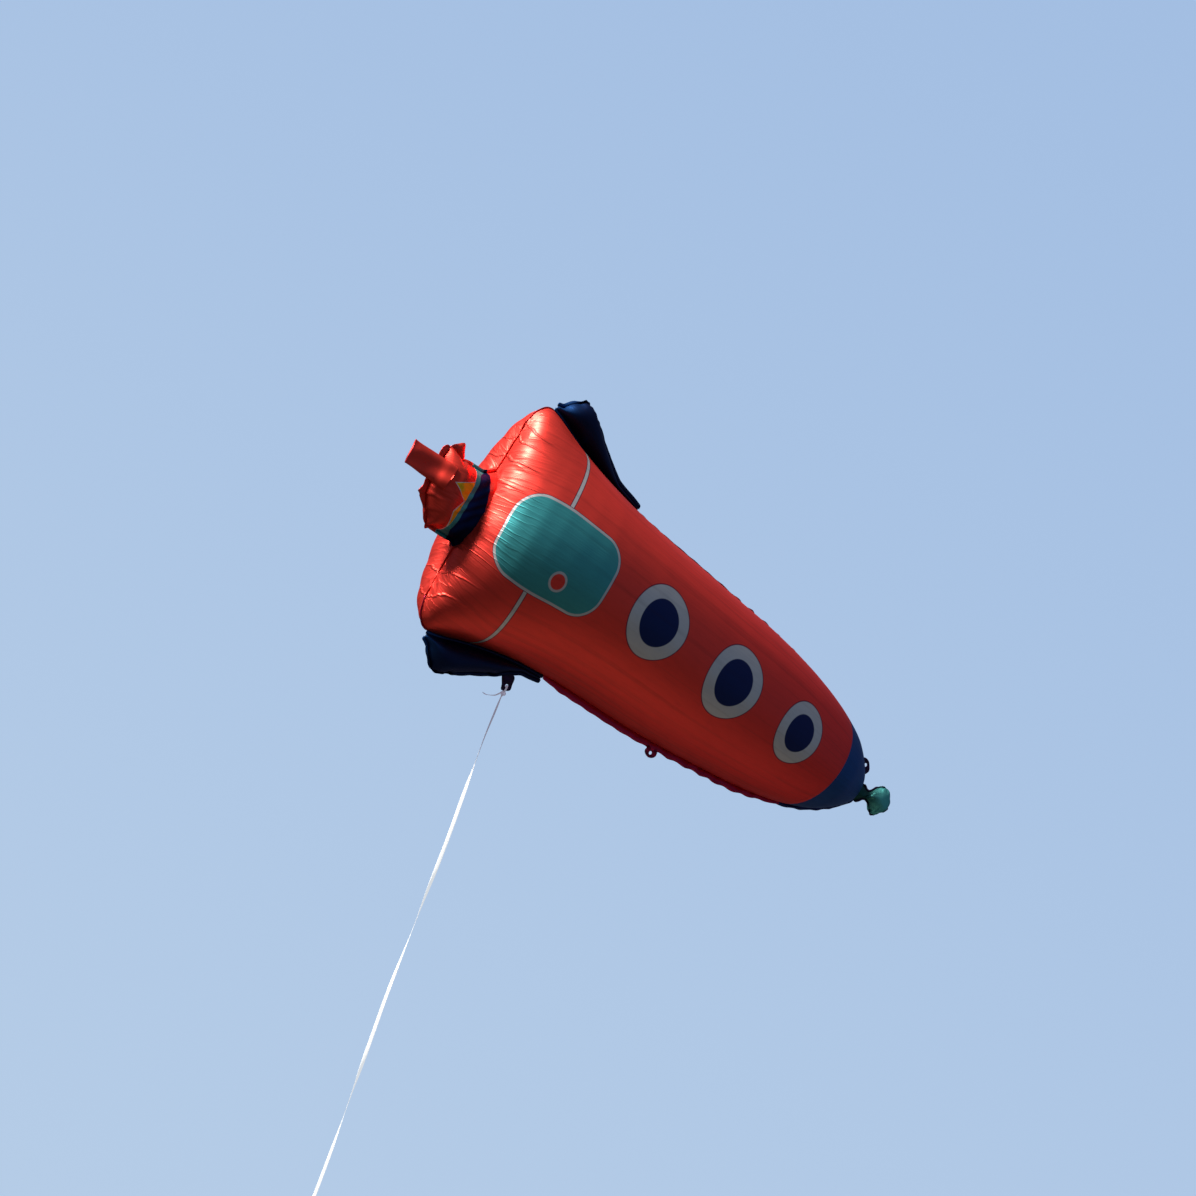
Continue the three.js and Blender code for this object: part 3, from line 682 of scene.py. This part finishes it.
# the antenna: mm along its film from the nose, and blown up, x from the tail seam, half width, half depth
ANTENNA = np.array([
    [0, 836, 8, 6], [6, 842, 10, 8], [13, 849, 11, 9], [20, 856, 9, 7], [25, 861, 6.5, 5.5],
    [31, 866, 6, 5], [36, 871, 8, 7], [43, 877, 14, 12], [52, 884, 19, 16], [62, 892, 20.5, 17],
    [71, 900, 17.5, 15], [79, 906, 12, 9], [84, 910, 6, 4], [87, 912, 2, 0],
]) * MM
ANTENNA_RISE = 8 * MM  # of the ball above its root
ANTENNA_STEP = 2.4 * MM
ANTENNA_COLUMNS = 15
ANTENNA_SEAM = 3 * MM
ANTENNA_FULLNESS = 1.04  # flat width over that of a smooth skin, so that the film puckers a little


def antenna_pattern():
    pattern = Pattern()
    rows = np.linspace(0, ANTENNA[-1, 0], int(ANTENNA[-1, 0] / ANTENNA_STEP))
    x, half, deep = (np.interp(rows, ANTENNA[:, 0], ANTENNA[:, k])[:, None] for k in (1, 2, 3))
    v, u = np.meshgrid(np.linspace(-1, 1, ANTENNA_COLUMNS), rows)
    z = quarter_ellipse(half, deep + 1e-5) * ANTENNA_FULLNESS * v
    rise = NOSE_LIFT + ANTENNA_RISE * ramp(rows, 0.01, 0.055)[:, None]
    turn = v * np.pi / 2
    place = np.stack([x + 0 * v, -deep * np.cos(turn) - 0.3 * MM, half * np.sin(turn) + rise], -1)
    pattern.add("antenna", u, z, place, framed(u.shape, SIDES, ENDS), 0.3)
    for column, side in ((0, -1), (-1, 1)):
        z_edge = z[:, column]
        lying = np.stack([rows, 0 * rows, z_edge], 1)
        out = outward(rows, z_edge, -side)
        edge = place[:, column] * IN_PLANE
        strip(pattern, "antenna_edge", rows, z_edge, edge, out, ANTENNA_SEAM, 0.3, lying)
    pattern.join()
    return pattern


FRAMES, QUICK_FRAMES = 30, 12
# of the cloth simulation
CLOTH = {
    "quality": 5, "mass": 0.05, "air_damping": 3.0, "tension_stiffness": 80.0, "compression_stiffness": 80.0,
    "shear_stiffness": 40.0, "bending_stiffness": 0.02, "tension_damping": 5, "compression_damping": 5,
    "shear_damping": 5, "use_pressure": True, "uniform_pressure_force": 10.0,
    "vertex_group_pressure": "gas", "vertex_group_mass": "guide",
}


def inflate(pattern, guide, uneven):
    """Blow the pattern up as cloth and return where its points end. Springs of stiffness guide lead the
    points to their places, the gas presses on the chambers, and the film holds to the lengths it has at
    rest. The points start up to a few times uneven off their places."""
    rng = np.random.default_rng(SEED)
    start = pattern.place + rng.normal(0, uneven, pattern.place.shape)
    data = bpy.data.meshes.new("pattern")
    data.from_pydata(start.tolist(), [], pattern.faces.tolist())
    data.update()
    film = link(bpy.data.objects.new("pattern", data))
    film.shape_key_add(name="blown")
    rest = film.shape_key_add(name="at_rest")
    rest.data.foreach_set("co", pattern.rest.astype(np.float32).ravel())
    gas = film.vertex_groups.new(name="gas")
    single = np.isin(pattern.parts, [i for i, n in enumerate(pattern.names) if n in SINGLE])
    gas.add(np.unique(pattern.faces[~single]).tolist(), 1.0, "REPLACE")
    held = film.vertex_groups.new(name="guide")
    for weight in np.unique(pattern.hold):
        held.add(np.flatnonzero(pattern.hold == weight).tolist(), float(weight), "REPLACE")
    # Cloth reads its rest shape only behind a modifier that may change the mesh; this one joins nothing
    film.modifiers.new("same", "WELD").merge_threshold = 1e-7
    cloth = film.modifiers.new("cloth", "CLOTH")
    for key, value in CLOTH.items():
        setattr(cloth.settings, key, value)
    cloth.settings.rest_shape_key = rest
    cloth.settings.pin_stiffness = guide
    cloth.settings.effector_weights.gravity = 0
    cloth.collision_settings.use_collision = False
    frames = FRAMES
    cloth.point_cache.frame_start, cloth.point_cache.frame_end = 1, frames
    scene = bpy.context.scene
    for number in range(1, frames + 1):
        scene.frame_set(number)
    evaluated = film.evaluated_get(bpy.context.evaluated_depsgraph_get())
    points = read(evaluated.data.vertices, "co")
    scene.frame_set(1)
    bpy.data.objects.remove(film)
    return points.reshape(-1, 3).astype(float)


def ruffled(pattern, points):
    """The free edge of the body's weld, waved out of its plane: 2.4 mm * sin(2 pi * u / 27 mm), bent by a
    second, slower wave, and drawn in by up to 2.4 % of its height in scallops of 33 mm. Beside the fins and
    before them there is only 0.3 of it."""
    points = points.copy()
    rim = np.unique(pattern.faces[pattern.parts == pattern.names.index("body_edge")])
    inner = np.unique(pattern.faces[pattern.parts == pattern.names.index("body")])
    outer = np.setdiff1d(rim, inner)
    u = pattern.flat[outer, 0]
    much = 0.3 + 0.7 * ramp(u, 0.50, 0.58)
    points[outer, 1] += much * 2.4 * MM * np.sin(2 * np.pi * u / 0.027 + 2 * np.sin(2 * np.pi * u / 0.11))
    points[outer, 2] *= 1 - much * 0.012 * (1 + np.sin(2 * np.pi * u / 0.033))
    return points


def read(items, key, kind=np.float32):
    """A property of each of a mesh's items as one long array."""
    values = np.empty(len(items) * (3 if kind is np.float32 else 1), kind)
    items.foreach_get(key, values)
    return values


def write_flat(data, places):
    """The attribute that the prints read."""
    values = places.astype(np.float32).ravel()
    data.attributes.new("flat", "FLOAT_VECTOR", "POINT").data.foreach_set("vector", values)


def refined(pattern, points):
    """The film after one subdivision: points, flat places, faces, the part of each, the parts' names."""
    data = bpy.data.meshes.new("refined")
    data.from_pydata(points.tolist(), [], pattern.faces.tolist())
    write_flat(data, pattern.flat)
    data.attributes.new("part", "INT", "FACE").data.foreach_set("value", pattern.parts.astype(np.int32))
    film = link(bpy.data.objects.new("refined", data))
    subdivide(film)
    evaluated = film.evaluated_get(bpy.context.evaluated_depsgraph_get()).to_mesh()
    co, flat = read(evaluated.vertices, "co"), read(evaluated.attributes["flat"].data, "vector")
    faces = read(evaluated.loops, "vertex_index", np.int32).reshape(-1, 4)
    parts = read(evaluated.attributes["part"].data, "value", np.int32)
    bpy.data.objects.remove(film)
    return co.reshape(-1, 3).astype(float), flat.reshape(-1, 3).astype(float), faces, parts, pattern.names


def caps(flat, quads):
    """The faces that close a chamber where it opens into its neighbour: at each such row across, a strip
    between the rims of the front and the back sheet, which meet at its two ends."""
    edges = np.sort(np.stack([quads, np.roll(quads, -1, 1)], -1).reshape(-1, 2), 1)
    pairs, times = np.unique(edges, axis=0, return_counts=True)
    rim = np.unique(pairs[times == 1])
    rim = rim[np.argsort(flat[rim, 2], kind="stable")]
    at_row = np.round(flat[rim, 0], 4)
    made = []
    for row in np.unique(at_row):
        here = rim[at_row == row]
        layer = flat[here, 1]
        ends, front, back = here[np.abs(layer) < 0.01], here[layer < -0.01], here[layer > 0.01]
        own = [[ends[0], front[0], back[0]], [ends[-1], back[-1], front[-1]]]
        own += np.stack([front[:-1], front[1:], back[1:], back[:-1]], 1).tolist()
        starts_here = (quads[:, 0] == front[0]).any()
        if starts_here and flat[quads].mean(axis=(0, 1))[0] > row:
            own = [face[::-1] for face in own]
        made += own
    return made


def film_piece(name, film, part, finish, thickness=0.0):
    """One chamber of the film as a closed piece or, with a thickness, one welded strip."""
    co, flat, faces, parts, names = film
    used, local = np.unique(faces[parts == names.index(part)], return_inverse=True)
    flat, quads = flat[used], local.reshape(-1, 4)
    closing = [] if thickness else caps(flat, quads)
    piece = mesh_piece(name, co[used] + TAIL, quads.tolist() + closing, finish)
    # the prints read u, the share of the way out from the axis to the side seam, and z
    share = np.abs(flat[:, 2]) / np.maximum(flat_half(np.clip(flat[:, 0], 0, FLAT_LENGTH)), MM)
    write_flat(piece.data, np.stack([flat[:, 0], share, flat[:, 2]], 1))
    if thickness:
        wall = piece.modifiers.new("thickness", "SOLIDIFY")
        wall.thickness = thickness
        wall.offset = 0
    piece.data.set_sharp_from_angle(angle=np.radians(75))
    return piece


# Fill neck and tie tabs

NECK_POINTS, NECK_SIDES = 60, 40
NECK_HALF = 18.5 * MM
# its middle line, mm from the tail seam: it leaves the flame and bends a little to the front
NECK_LINE = np.array([
    [-79, -22, 8], [-87, -17, 9], [-97, -9, 10], [-110, -4, 10], [-121, -2, 10], [-134, -1, 10],
    [-147, 0, 10],
])
# share along, half depth in mm
NECK_DEPTH = np.array([[0, 3.2], [0.4, 3.4], [0.85, 2.6], [0.95, 1.7], [1, 1.3]])


def fill_neck(finish):
    """A flat tube of film. Point = middle line + half width * cos(angle) * across + (half depth *
    sin(angle) + fold) * through, where the fold is 1.1 mm * sin(1.3 pi cos(angle) + 4 * share along)."""
    path = smooth_path(TAIL + NECK_LINE * MM, NECK_POINTS)
    share = np.linspace(0, 1, NECK_POINTS)
    angle = np.linspace(0, 2 * np.pi, NECK_SIDES, endpoint=False)
    across, through = crosswise(path, np.tile([0.0, 0.12, 1.0], (NECK_POINTS, 1)))
    wide = NECK_HALF * (1 - 0.02 * np.sin(9 * share))
    deep = MM * np.interp(share, *NECK_DEPTH.T)
    c, s = np.cos(angle)[None], np.sin(angle)[None]
    flatter = np.interp(share, [0, 0.9, 1], [1, 1, 0.4])[:, None]
    fold = 1.1 * MM * np.sin(1.3 * np.pi * c + 4 * share[:, None]) * flatter
    ring = path[:, None] + (wide[:, None] * c)[..., None] * across[:, None]
    ring = ring + (deep[:, None] * s + fold)[..., None] * through[:, None]
    faces = grid_faces(NECK_POINTS, NECK_SIDES, around=True)[:, ::-1].tolist()
    last = (NECK_POINTS - 1) * NECK_SIDES
    faces += [[0, k, k + 1] for k in range(1, NECK_SIDES - 1)]
    faces += [[last, last + k + 1, last + k] for k in range(1, NECK_SIDES - 1)]
    neck = mesh_piece("fill_neck_film", ring.reshape(-1, 3), faces, finish)
    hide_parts("fill_neck_front", "fill_neck_back")


TAB_HOLE = 2.5 * MM
TAB_TIP = 7.0  # mm from the hole's middle to the outer end
TAB_FLARE = 2.5  # mm that its root is wider, to each side
TAB_POINTS = 48
TAB_SWELL = np.array([0.25, 0.55, 0.45, 0.2]) * MM  # half thickness, from the hole to the edge
# each tab: its hole's x and z in mm, the way it points, half width, length to its root, how pointed
TABS = {
    "tie_tab_nose": ([836, 42], [0.5, 0.87], 12, 18, 2.2),
    "tie_tab_belly": ([481, -129], [0.05, -1], 13, 12, 1.5),
    "tie_tab_fin": ([200, -173], [0.45, -0.89], 10, 18, 3.0),
}


def tie_tab(name, hole, out, half, root, power, finish):
    """A tab of two welded sheets round a punched hole. Its outline, at each angle round the hole, is where
    |along / half| ** power + |out / length| ** power = 1, with a length of its own towards tip and root."""
    angle = np.linspace(0, 2 * np.pi, TAB_POINTS, endpoint=False)
    a, b = np.cos(angle), np.sin(angle)
    length = np.where(b > 0, TAB_TIP, root)
    flare = np.where(b > 0, 0, TAB_FLARE * np.clip(-b, 0, 1) ** 2)
    reach = ((np.abs(a) / (half + flare)) ** power + (np.abs(b) / length) ** power) ** (-1 / power) * MM
    radius = np.stack([TAB_HOLE + share * (reach - TAB_HOLE) for share in (0, 0.18, 0.6, 1)], 1)
    pointing = unit(np.array([out[0], 0, out[1]]))
    through = np.array([0, 1.0, 0])
    along = np.cross(pointing, through)
    middle = TAIL + np.array([hole[0], 0, hole[1]]) * MM
    flat = middle + radius[..., None] * (a[:, None, None] * along + b[:, None, None] * pointing)
    swell = TAB_SWELL[None, :, None]
    wave = (0.7 * MM * np.sin(3 * angle + 1)[:, None] * (radius / (8 * MM)) ** 2)[..., None]
    ring = np.concatenate([flat + (swell + wave) * through, (flat - (swell - wave) * through)[:, ::-1]], 1)
    faces = grid_faces(TAB_POINTS, 2 * len(TAB_SWELL), around=True, along=True)
    tab = mesh_piece(name + "_film", ring.reshape(-1, 3), faces, finish)
    subdivide(tab)
    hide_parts(name)


# Finishes

CORAL = (0.90, 0.062, 0.045)
WHITE = (0.60, 0.59, 0.60)
NAVY = (0.003, 0.018, 0.10)
FIN_NAVY = (0.0015, 0.009, 0.05)
NOSE_NAVY = (0.008, 0.065, 0.23)
TEAL = (0.055, 0.34, 0.36)
PURPLE = (0.13, 0.006, 0.04)
CRIMSON = (0.42, 0.012, 0.07)
VIOLET = (0.03, 0.012, 0.06)
FLAME_RED = (0.72, 0.045, 0.03)
YELLOW = (0.85, 0.46, 0.01)

COOL_TINT = (0.25, 0.35, 0.55, 1.0)
FOIL = {
    "Metallic": 0.8, "Coat_Weight": 0.16, "Coat_Roughness": 0.42, "Specular_IOR_Level": 0.3,
    "Specular_Tint": (0.62, 0.23, 0.33, 1.0),
}
ROUGH_FROM, ROUGH_SPAN = 0.36, 0.18  # roughness of the smoothest film, and what a crease adds

# the body's print, on the flat pattern
NAVY_FROM = 0.8085  # where the nose colour starts
BELT_AT, BELT_TILT, BELT_BOW = 0.1335, 0.021, 0.139  # its middle is at u = AT - TILT * z - BOW * z * z
HATCH = (0.152, -0.003, 0.090, 0.059, 0.038)  # its middle's u and z, half length, half width, corner radius
HATCH_EYE = (0.168, -0.032)
# each porthole's middle, outer and inner radius
PORTHOLES = ((0.346, 0.000, 0.0548, 0.035), (0.522, -0.003, 0.0548, 0.035), (0.686, -0.004, 0.046, 0.028))
PORTHOLE_LINE = 0.0014  # width of the dark line round it
TAIL_CREASES = (-0.150, -0.110, 0.052, 0.092, 0.124, 0.150)  # places across of the deepest creases


def disc(u, z, at_u, at_z, radius):
    """1 inside a circle on the flat pattern, 0 outside it."""
    away = ((u - at_u) * (u - at_u) + (z - at_z) * (z - at_z)).root()
    return away.under(radius, 0.0008)


def rounded_box(u, z, at_u, at_z, half_u, half_z, radius):
    """Distance outside a rounded rectangle on the flat pattern, negative inside it."""
    du = (abs(u - at_u) - (half_u - radius)).most(0.0)
    dz = (abs(z - at_z) - (half_z - radius)).most(0.0)
    return (du * du + dz * dz).root() - radius


def foil(name, paint, own="flat", puckers=None, nose=False, **changes):
    """Glossy printed film: the print, a little uneven and darkened in lengthwise bands as painted
    reflections, and fine creases in the sheen and the surface.
    """
    finish = Finish(name, **{**FOIL, **changes})
    u, share, z = finish.coords(own)
    colour = paint(u, z)
    cloudy = finish.noise(38.0, 4.0)
    # painted reflections: noise drawn out along the film, which darkens the colour in lengthwise bands as
    # reflections along it would
    painted_reflection_streaks = finish.noise(26.0, 2.0, stretch=(0.05, 1.0, 1.0))
    # darker where the print is cloudy and, as painted reflections, along the lengthwise bands
    uneven_print_and_painted_reflections = (cloudy - 0.45).most(0.0) * 0.2 + (painted_reflection_streaks - 0.52).most(0.0) * 0.8
    finish.set("Base Color", mix(colour, (0.02, 0.005, 0.01), uneven_print_and_painted_reflections))
    creased = finish.noise(60.0, 3.0, stretch=(0.35, 1.0, 1.0))
    finish.set("Roughness", ROUGH_FROM + creased * ROUGH_SPAN)
    height = creased * 0.35
    if puckers:
        height = height + puckers(finish, u, share, z)
    finish.bump(height, 1.0, MM)
    if nose:
        finish.other_sheen(u.over(NAVY_FROM), Specular_Tint=COOL_TINT, Coat_Weight=0.2)
    return finish.material


def tail_puckers(finish, u, share, z):
    """Height in mm of three kinds of fine creases, each 1 - |sin| to a power and bent by noise: those that
    run from the nozzle into the hatch, those along the tail seam, and the folds along the side seams."""
    bend = finish.noise(14.0, 2.0)
    near = 1 - (abs(z + 0.008)).steps(0.055, 0.088)
    gather = 1 - abs((z * 360.0 + bend * 6.0).wave())
    patchy = finish.noise(45.0, 1.0, stretch=(0.3, 1.0, 1.0)).steps(0.36, 0.62)
    gathers = gather * gather * gather * near * (1 - u.steps(0.055, 0.125)) * patchy * 0.55
    crease = 1 - abs((z * 150.0 + bend * 8.0).wave())
    seam = crease * crease * crease * crease * (1 - u.steps(0.02, 0.085)) * (1 - near) * 0.35
    for at_z in TAIL_CREASES:
        valley = 1 - abs(z + u * at_z * 1.5 + bend * 0.012 - (at_z + 0.006)).steps(0.0, 0.0032)
        seam = seam + valley * (1 - u.steps(0.045, 0.085)) * 0.9
    fold = 1 - abs((u * 150.0 + bend * 2.5 + abs(z) * 40.0).wave())
    side = fold * fold * share.steps(0.80, 1.0) * u.steps(0.22, 0.34) * 0.45
    return 0 - gathers - seam - side


def body_print(u, z):
    """Coral, with a belt, a hatch with its eye, three portholes and the nose's colour."""
    belt = abs(u + z * BELT_TILT + z * z * BELT_BOW - BELT_AT)
    hatch = rounded_box(u, z, *HATCH)
    out = mix(CORAL, (0.78, 0.035, 0.045), u.steps(0.25, 0.95) * 0.5)
    layers = [
        (PURPLE, belt.under(0.0038)), (WHITE, belt.under(0.0027, 0.0003)),
        (PURPLE, hatch.under(0.0007, 0.0003)), (WHITE, hatch.under(0.0)), (TEAL, hatch.under(-0.0036)),
        (WHITE, disc(u, z, *HATCH_EYE, 0.0134)), (CORAL, disc(u, z, *HATCH_EYE, 0.0103)),
    ]
    for at_u, at_z, outer, inner in PORTHOLES:
        rings = (PURPLE, outer + PORTHOLE_LINE), (WHITE, outer), (NAVY, inner)
        layers += [(colour, disc(u, z, at_u, at_z, radius)) for colour, radius in rings]
    for colour, where in layers:
        out = mix(out, colour, where)
    return mix(out, NOSE_NAVY, u.over(NAVY_FROM))


def edge_print(u, z):
    """Crimson along the lower side, and the body's own colour along the upper."""
    return mix(mix(CRIMSON, (0.5, 0.03, 0.04), z.steps(-0.01, 0.01)), NAVY, u.over(NAVY_FROM))


def neck_print(x, z):
    return mix(FLAME_RED, (0.40, 0.02, 0.05), x.steps(-0.48, -0.50))


def streaked(z):
    return (z * 700).wave() * 0.5 + 0.5


def tab_print(x, z):
    return mix(VIOLET, (0.02, 0.01, 0.035), streaked(z))


def flap_print(x, z):
    return mix(CRIMSON, PURPLE, streaked(z))


def antenna_print(u, z):
    """Dark green at the root and the stalk, teal on the ball."""
    return mix((0.008, 0.06, 0.055), (0.09, 0.42, 0.40), u.steps(0.028, 0.055))


def navy_print_with_painted_highlight(u, z):
    # painted highlight: lighter blue near the fin's tail end for the sky's reflection, near-black navy
    # beyond
    return mix((0.01, 0.07, 0.24), FIN_NAVY, u.steps(0.03, 0.09))


def nozzle_print(u, z):
    """Teal beside the flame and along the flanges near it, and navy up to the body, darker near the body as
    painted shade of the crevice there.
    """
    flange = abs(z).steps(0.045, 0.068) * 0.014
    body_from = z.steps(-0.03, 0.05) * 0.016 - 0.0005
    # painted shade: the navy turns darker within about 2 cm of the body, for the shaded crevice between
    # nozzle and body
    navy = mix(NAVY, FIN_NAVY, u.steps(-0.032, -0.018))
    out = mix(TEAL, navy, (u + 0.036 - flange).over(0.0, 0.0006))
    return mix(out, CORAL, (u + body_from).over(0.0, 0.0006))


def flame_print(u, z):
    """Red, with a yellow tongue of one long and one short spike, inside a white line."""
    beyond = 0 - u - NOZZLE_LENGTH
    spikes = (0.031 - abs(z - 0.016) * 1.8).most(0.009 - abs(z + 0.022) * 0.4)
    tongue = beyond - spikes.most(-0.001)
    out = mix(FLAME_RED, WHITE, tongue.under(0.0019, 0.0003))
    return mix(out, YELLOW, tongue.under(-0.0001, 0.0005))


def ribbon_finish():
    finish = Finish("ribbon_satin", Specular_IOR_Level=0.6, Coat_Weight=0.3, Coat_Roughness=0.2)
    z = finish.coords()[2]
    finish.set("Base Color", mix((0.80, 0.79, 0.76), (0.93, 0.93, 0.91), finish.noise(90.0, 3.0)))
    ribs = finish.noise(2600.0, 1.0, stretch=(1.0, 1.0, 0.02))
    finish.set("Roughness", 0.30 + ribs * 0.18)
    finish.bump(ribs, 0.3, 0.0002)
    # painted light: an emission that stands in for sunlight on the ribbon, weaker and lilac in its upper
    # part near the knot as painted shade of the balloon
    painted_light_emission = mix((0.26, 0.27, 0.28), (0.05, 0.045, 0.07), z.steps(-0.33, -0.27))
    finish.set("Emission Color", painted_light_emission)
    finish.shader.inputs["Emission Strength"].default_value = 2.2
    return finish.material


def floor_finish():
    finish = Finish("floor_paint", Roughness=0.8)
    finish.coords()
    finish.set("Base Color", mix((0.46, 0.39, 0.29), (0.50, 0.43, 0.33), finish.noise(1.5, 4.0)))
    return finish.material


# Making it all

make_camera()
make_ribbon(ribbon_finish())

pattern = rocket_pattern()
film = refined(pattern, ruffled(pattern, inflate(pattern, 8.0, 0.10 * MM)))

body_foil = foil("body_foil_print", body_print, puckers=tail_puckers, nose=True)
fin_foil = foil("fin_foil_print", navy_print_with_painted_highlight, Specular_Tint=COOL_TINT)
nozzle_foil = foil("nozzle_foil_print", nozzle_print, Coat_Weight=0.02, Specular_Tint=COOL_TINT)
flame_foil = foil("flame_foil_print", flame_print)
edge_foil = foil("welded_edge_print", edge_print)

for part, finish in (
    ("body", body_foil), ("fin_upper", fin_foil), ("fin_lower", fin_foil), ("nozzle", nozzle_foil),
    ("flame", flame_foil),
):
    chamber = film_piece(part + "_chamber", film, part, finish)
    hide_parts(part + "_front", part + "_back")
for name, part, finish, slot in (
    ("body_welded_edge", "body_edge", edge_foil, "body_foil"),
    ("tail_welded_edge", "tail_edge", body_foil, "body_foil"),
    ("fin_weld", "weld", fin_foil, "body_foil"),
    ("fin_welded_edge", "fin_edge", fin_foil, "fin_foil"),
    ("nozzle_welded_edge", "nozzle_edge", nozzle_foil, "nozzle_foil"),
    ("flame_welded_edge", "flame_edge", flame_foil, "flame_foil"),
):
    edge = film_piece(name, film, part, finish, thickness=0.5 * MM)

fill_neck(foil("fill_neck_print", neck_print, own=None))
tab_foil = foil("tie_tab_print", tab_print, own=None)
flap_foil = foil("tie_flap_print", flap_print, own=None)
for tab_name, shape in TABS.items():
    tie_tab(tab_name, *shape, flap_foil if "belly" in tab_name else tab_foil)

antenna = antenna_pattern()
antenna_film = refined(antenna, inflate(antenna, 6.0, 0.25 * MM))
antenna_foil = foil("antenna_foil_print", antenna_print, Specular_Tint=COOL_TINT)
ball = film_piece("antenna_chamber", antenna_film, "antenna", antenna_foil)
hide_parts("antenna_front", "antenna_back")
ball_edge = film_piece("antenna_welded_edge", antenna_film, "antenna_edge", tab_foil, thickness=0.4 * MM)

floor_corners = [(x * FLOOR_HALF, y * FLOOR_HALF, FLOOR_Z) for x, y in ((-1, -1), (1, -1), (1, 1), (-1, 1))]
floor = mesh_piece("floor", floor_corners, [(0, 1, 2, 3)], floor_finish())
make_sky()
make_key_light()
bpy.context.scene.view_settings.view_transform = "Standard"
